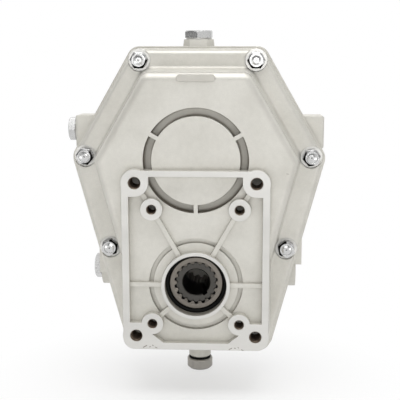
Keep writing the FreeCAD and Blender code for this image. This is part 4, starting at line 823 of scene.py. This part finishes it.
def tent_world():
    """A light tent: pale all round, dimmer low down, at the sides and towards the photographer.

    The camera sees it plain white, and so do glossy surfaces behind the gearbox.
    """
    world = bpy.data.worlds.new("light tent")
    world.use_nodes = True
    tree = world.node_tree
    tree.nodes.clear()
    generated = put(tree, "ShaderNodeTexCoord").outputs["Generated"]
    way = put(tree, "ShaderNodeSeparateXYZ", {0: generated}).outputs
    strength = 1.0
    for axis, low, high, at_low, at_high in TENT:
        strength = times(tree, strength, ramp(tree, way[axis], low, high, at_low, at_high))
    behind = ramp(tree, way["Y"], *MIRRORED_BACKGROUND)
    strength = maths(tree, "MAXIMUM", strength, background_rays(tree, behind))
    ground = put(tree, "ShaderNodeBackground", {"Color": WHITE, "Strength": strength})
    out = tree.nodes.new("ShaderNodeOutputWorld")
    tree.links.new(ground.outputs[0], out.inputs["Surface"])
    return world


FLOOR_HALF = 3.0
FLOOR_ROUGHNESS = 0.9
NEAR_WHITENESS = 0.45


def floor_material(look):
    """A pale floor that turns plain white for the camera and for mirrors, away from the gearbox."""
    material, tree, shader = blank("floor")
    connect(tree, shader, Base_Color=look.floor, Roughness=FLOOR_ROUGHNESS)
    away = vectors(tree, "LENGTH", vectors(tree, "MULTIPLY", object_place(tree), (1.0, 1.0, 0.0)))
    share = times(tree, ramp(tree, away, 0.0, look.pool, NEAR_WHITENESS, 1.0), background_rays(tree))
    white = put(tree, "ShaderNodeEmission", {"Color": WHITE, "Strength": 1.0})
    both = put(tree, "ShaderNodeMixShader", {0: share, 1: shader.outputs[0], 2: white.outputs[0]})
    tree.links.new(both.outputs[0], tree.nodes["Material Output"].inputs["Surface"])
    return material


def place_floor(look):
    """The floor, level with the lowest point of the gearbox."""
    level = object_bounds()[0].z
    corners = [(x * FLOOR_HALF, y * FLOOR_HALF, level) for x, y in ((-1, -1), (1, -1), (1, 1), (-1, 1))]
    mesh = bpy.data.meshes.new("floor")
    mesh.from_pydata(corners, [], [(0, 1, 2, 3)])
    mesh.materials.append(floor_material(look))
    floor = bpy.data.objects.new("floor", mesh)
    bpy.context.scene.collection.objects.link(floor)
    floor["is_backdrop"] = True


SENSOR_WIDTH = 36.0
CLIPPING = (0.01, 20.0)
LOOKED_AT = (3.8 * MM, 0.0, 72.0 * MM)


def place_camera(look):
    """The camera, at the photograph's angle and distance from the point that it looks at."""
    lens = bpy.data.cameras.new("camera")
    lens.lens = look.focal
    lens.sensor_width = SENSOR_WIDTH
    lens.clip_start, lens.clip_end = CLIPPING
    camera = bpy.data.objects.new("camera", lens)
    bpy.context.scene.collection.objects.link(camera)
    level = math.cos(look.elevation)
    back = Vector((math.sin(look.azimuth) * level, -math.cos(look.azimuth) * level,
                   math.sin(look.elevation)))
    turn = (-back).to_track_quat("-Z", "Y").to_matrix() @ Matrix.Rotation(look.roll, 3, "Z")
    camera.matrix_world = Matrix.LocRotScale(Vector(LOOKED_AT) + back * look.distance,
                                             turn.to_quaternion(), None)
    bpy.context.scene.camera = camera


class GEARBOX_OT_stage(bpy.types.Operator):
    """Makes the floor, the light tent, the lamps and the camera at the photograph's angle"""
    bl_idname = "gearbox.stage"
    bl_label = "Set the stage"

    def execute(self, context):
        look = context.scene.gearbox_stage
        place_floor(look)
        context.scene.world = tent_world()
        for settings in LAMPS:
            lamp(*settings)
        place_camera(look)
        return {"FINISHED"}


STEPS = (GEARBOX_OT_castings, GEARBOX_OT_fasteners, GEARBOX_OT_plugs, GEARBOX_OT_running_gear,
         GEARBOX_OT_bearings, GEARBOX_OT_threads, GEARBOX_OT_stage)


class GEARBOX_PT_panel(bpy.types.Panel):
    """Lists the finishing steps and their settings"""
    bl_idname = "GEARBOX_PT_panel"
    bl_label = "Gearbox"
    bl_space_type = "VIEW_3D"
    bl_region_type = "UI"
    bl_category = "Gearbox"

    def draw(self, context):
        for step in STEPS:
            self.layout.operator(step.bl_idname)
        for pointer, look in LOOKS.items():
            box = self.layout.box()
            for key in look.__annotations__:
                box.prop(getattr(context.scene, pointer), key)


def register():
    for look in LOOKS.values():
        bpy.utils.register_class(look)
    for step in STEPS:
        bpy.utils.register_class(step)
    bpy.utils.register_class(GEARBOX_PT_panel)
    for pointer, look in LOOKS.items():
        setattr(bpy.types.Scene, pointer, PointerProperty(type=look))


def unregister():
    for pointer in LOOKS:
        delattr(bpy.types.Scene, pointer)
    bpy.utils.unregister_class(GEARBOX_PT_panel)
    for step in reversed(STEPS):
        bpy.utils.unregister_class(step)
    for look in reversed(list(LOOKS.values())):
        bpy.utils.unregister_class(look)


def main():
    register()
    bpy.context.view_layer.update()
    for step in STEPS:
        family, action = step.bl_idname.split(".")
        getattr(getattr(bpy.ops, family), action)()
    bpy.context.scene.view_settings.view_transform = "Standard"


if __name__ == "__main__":
    main()
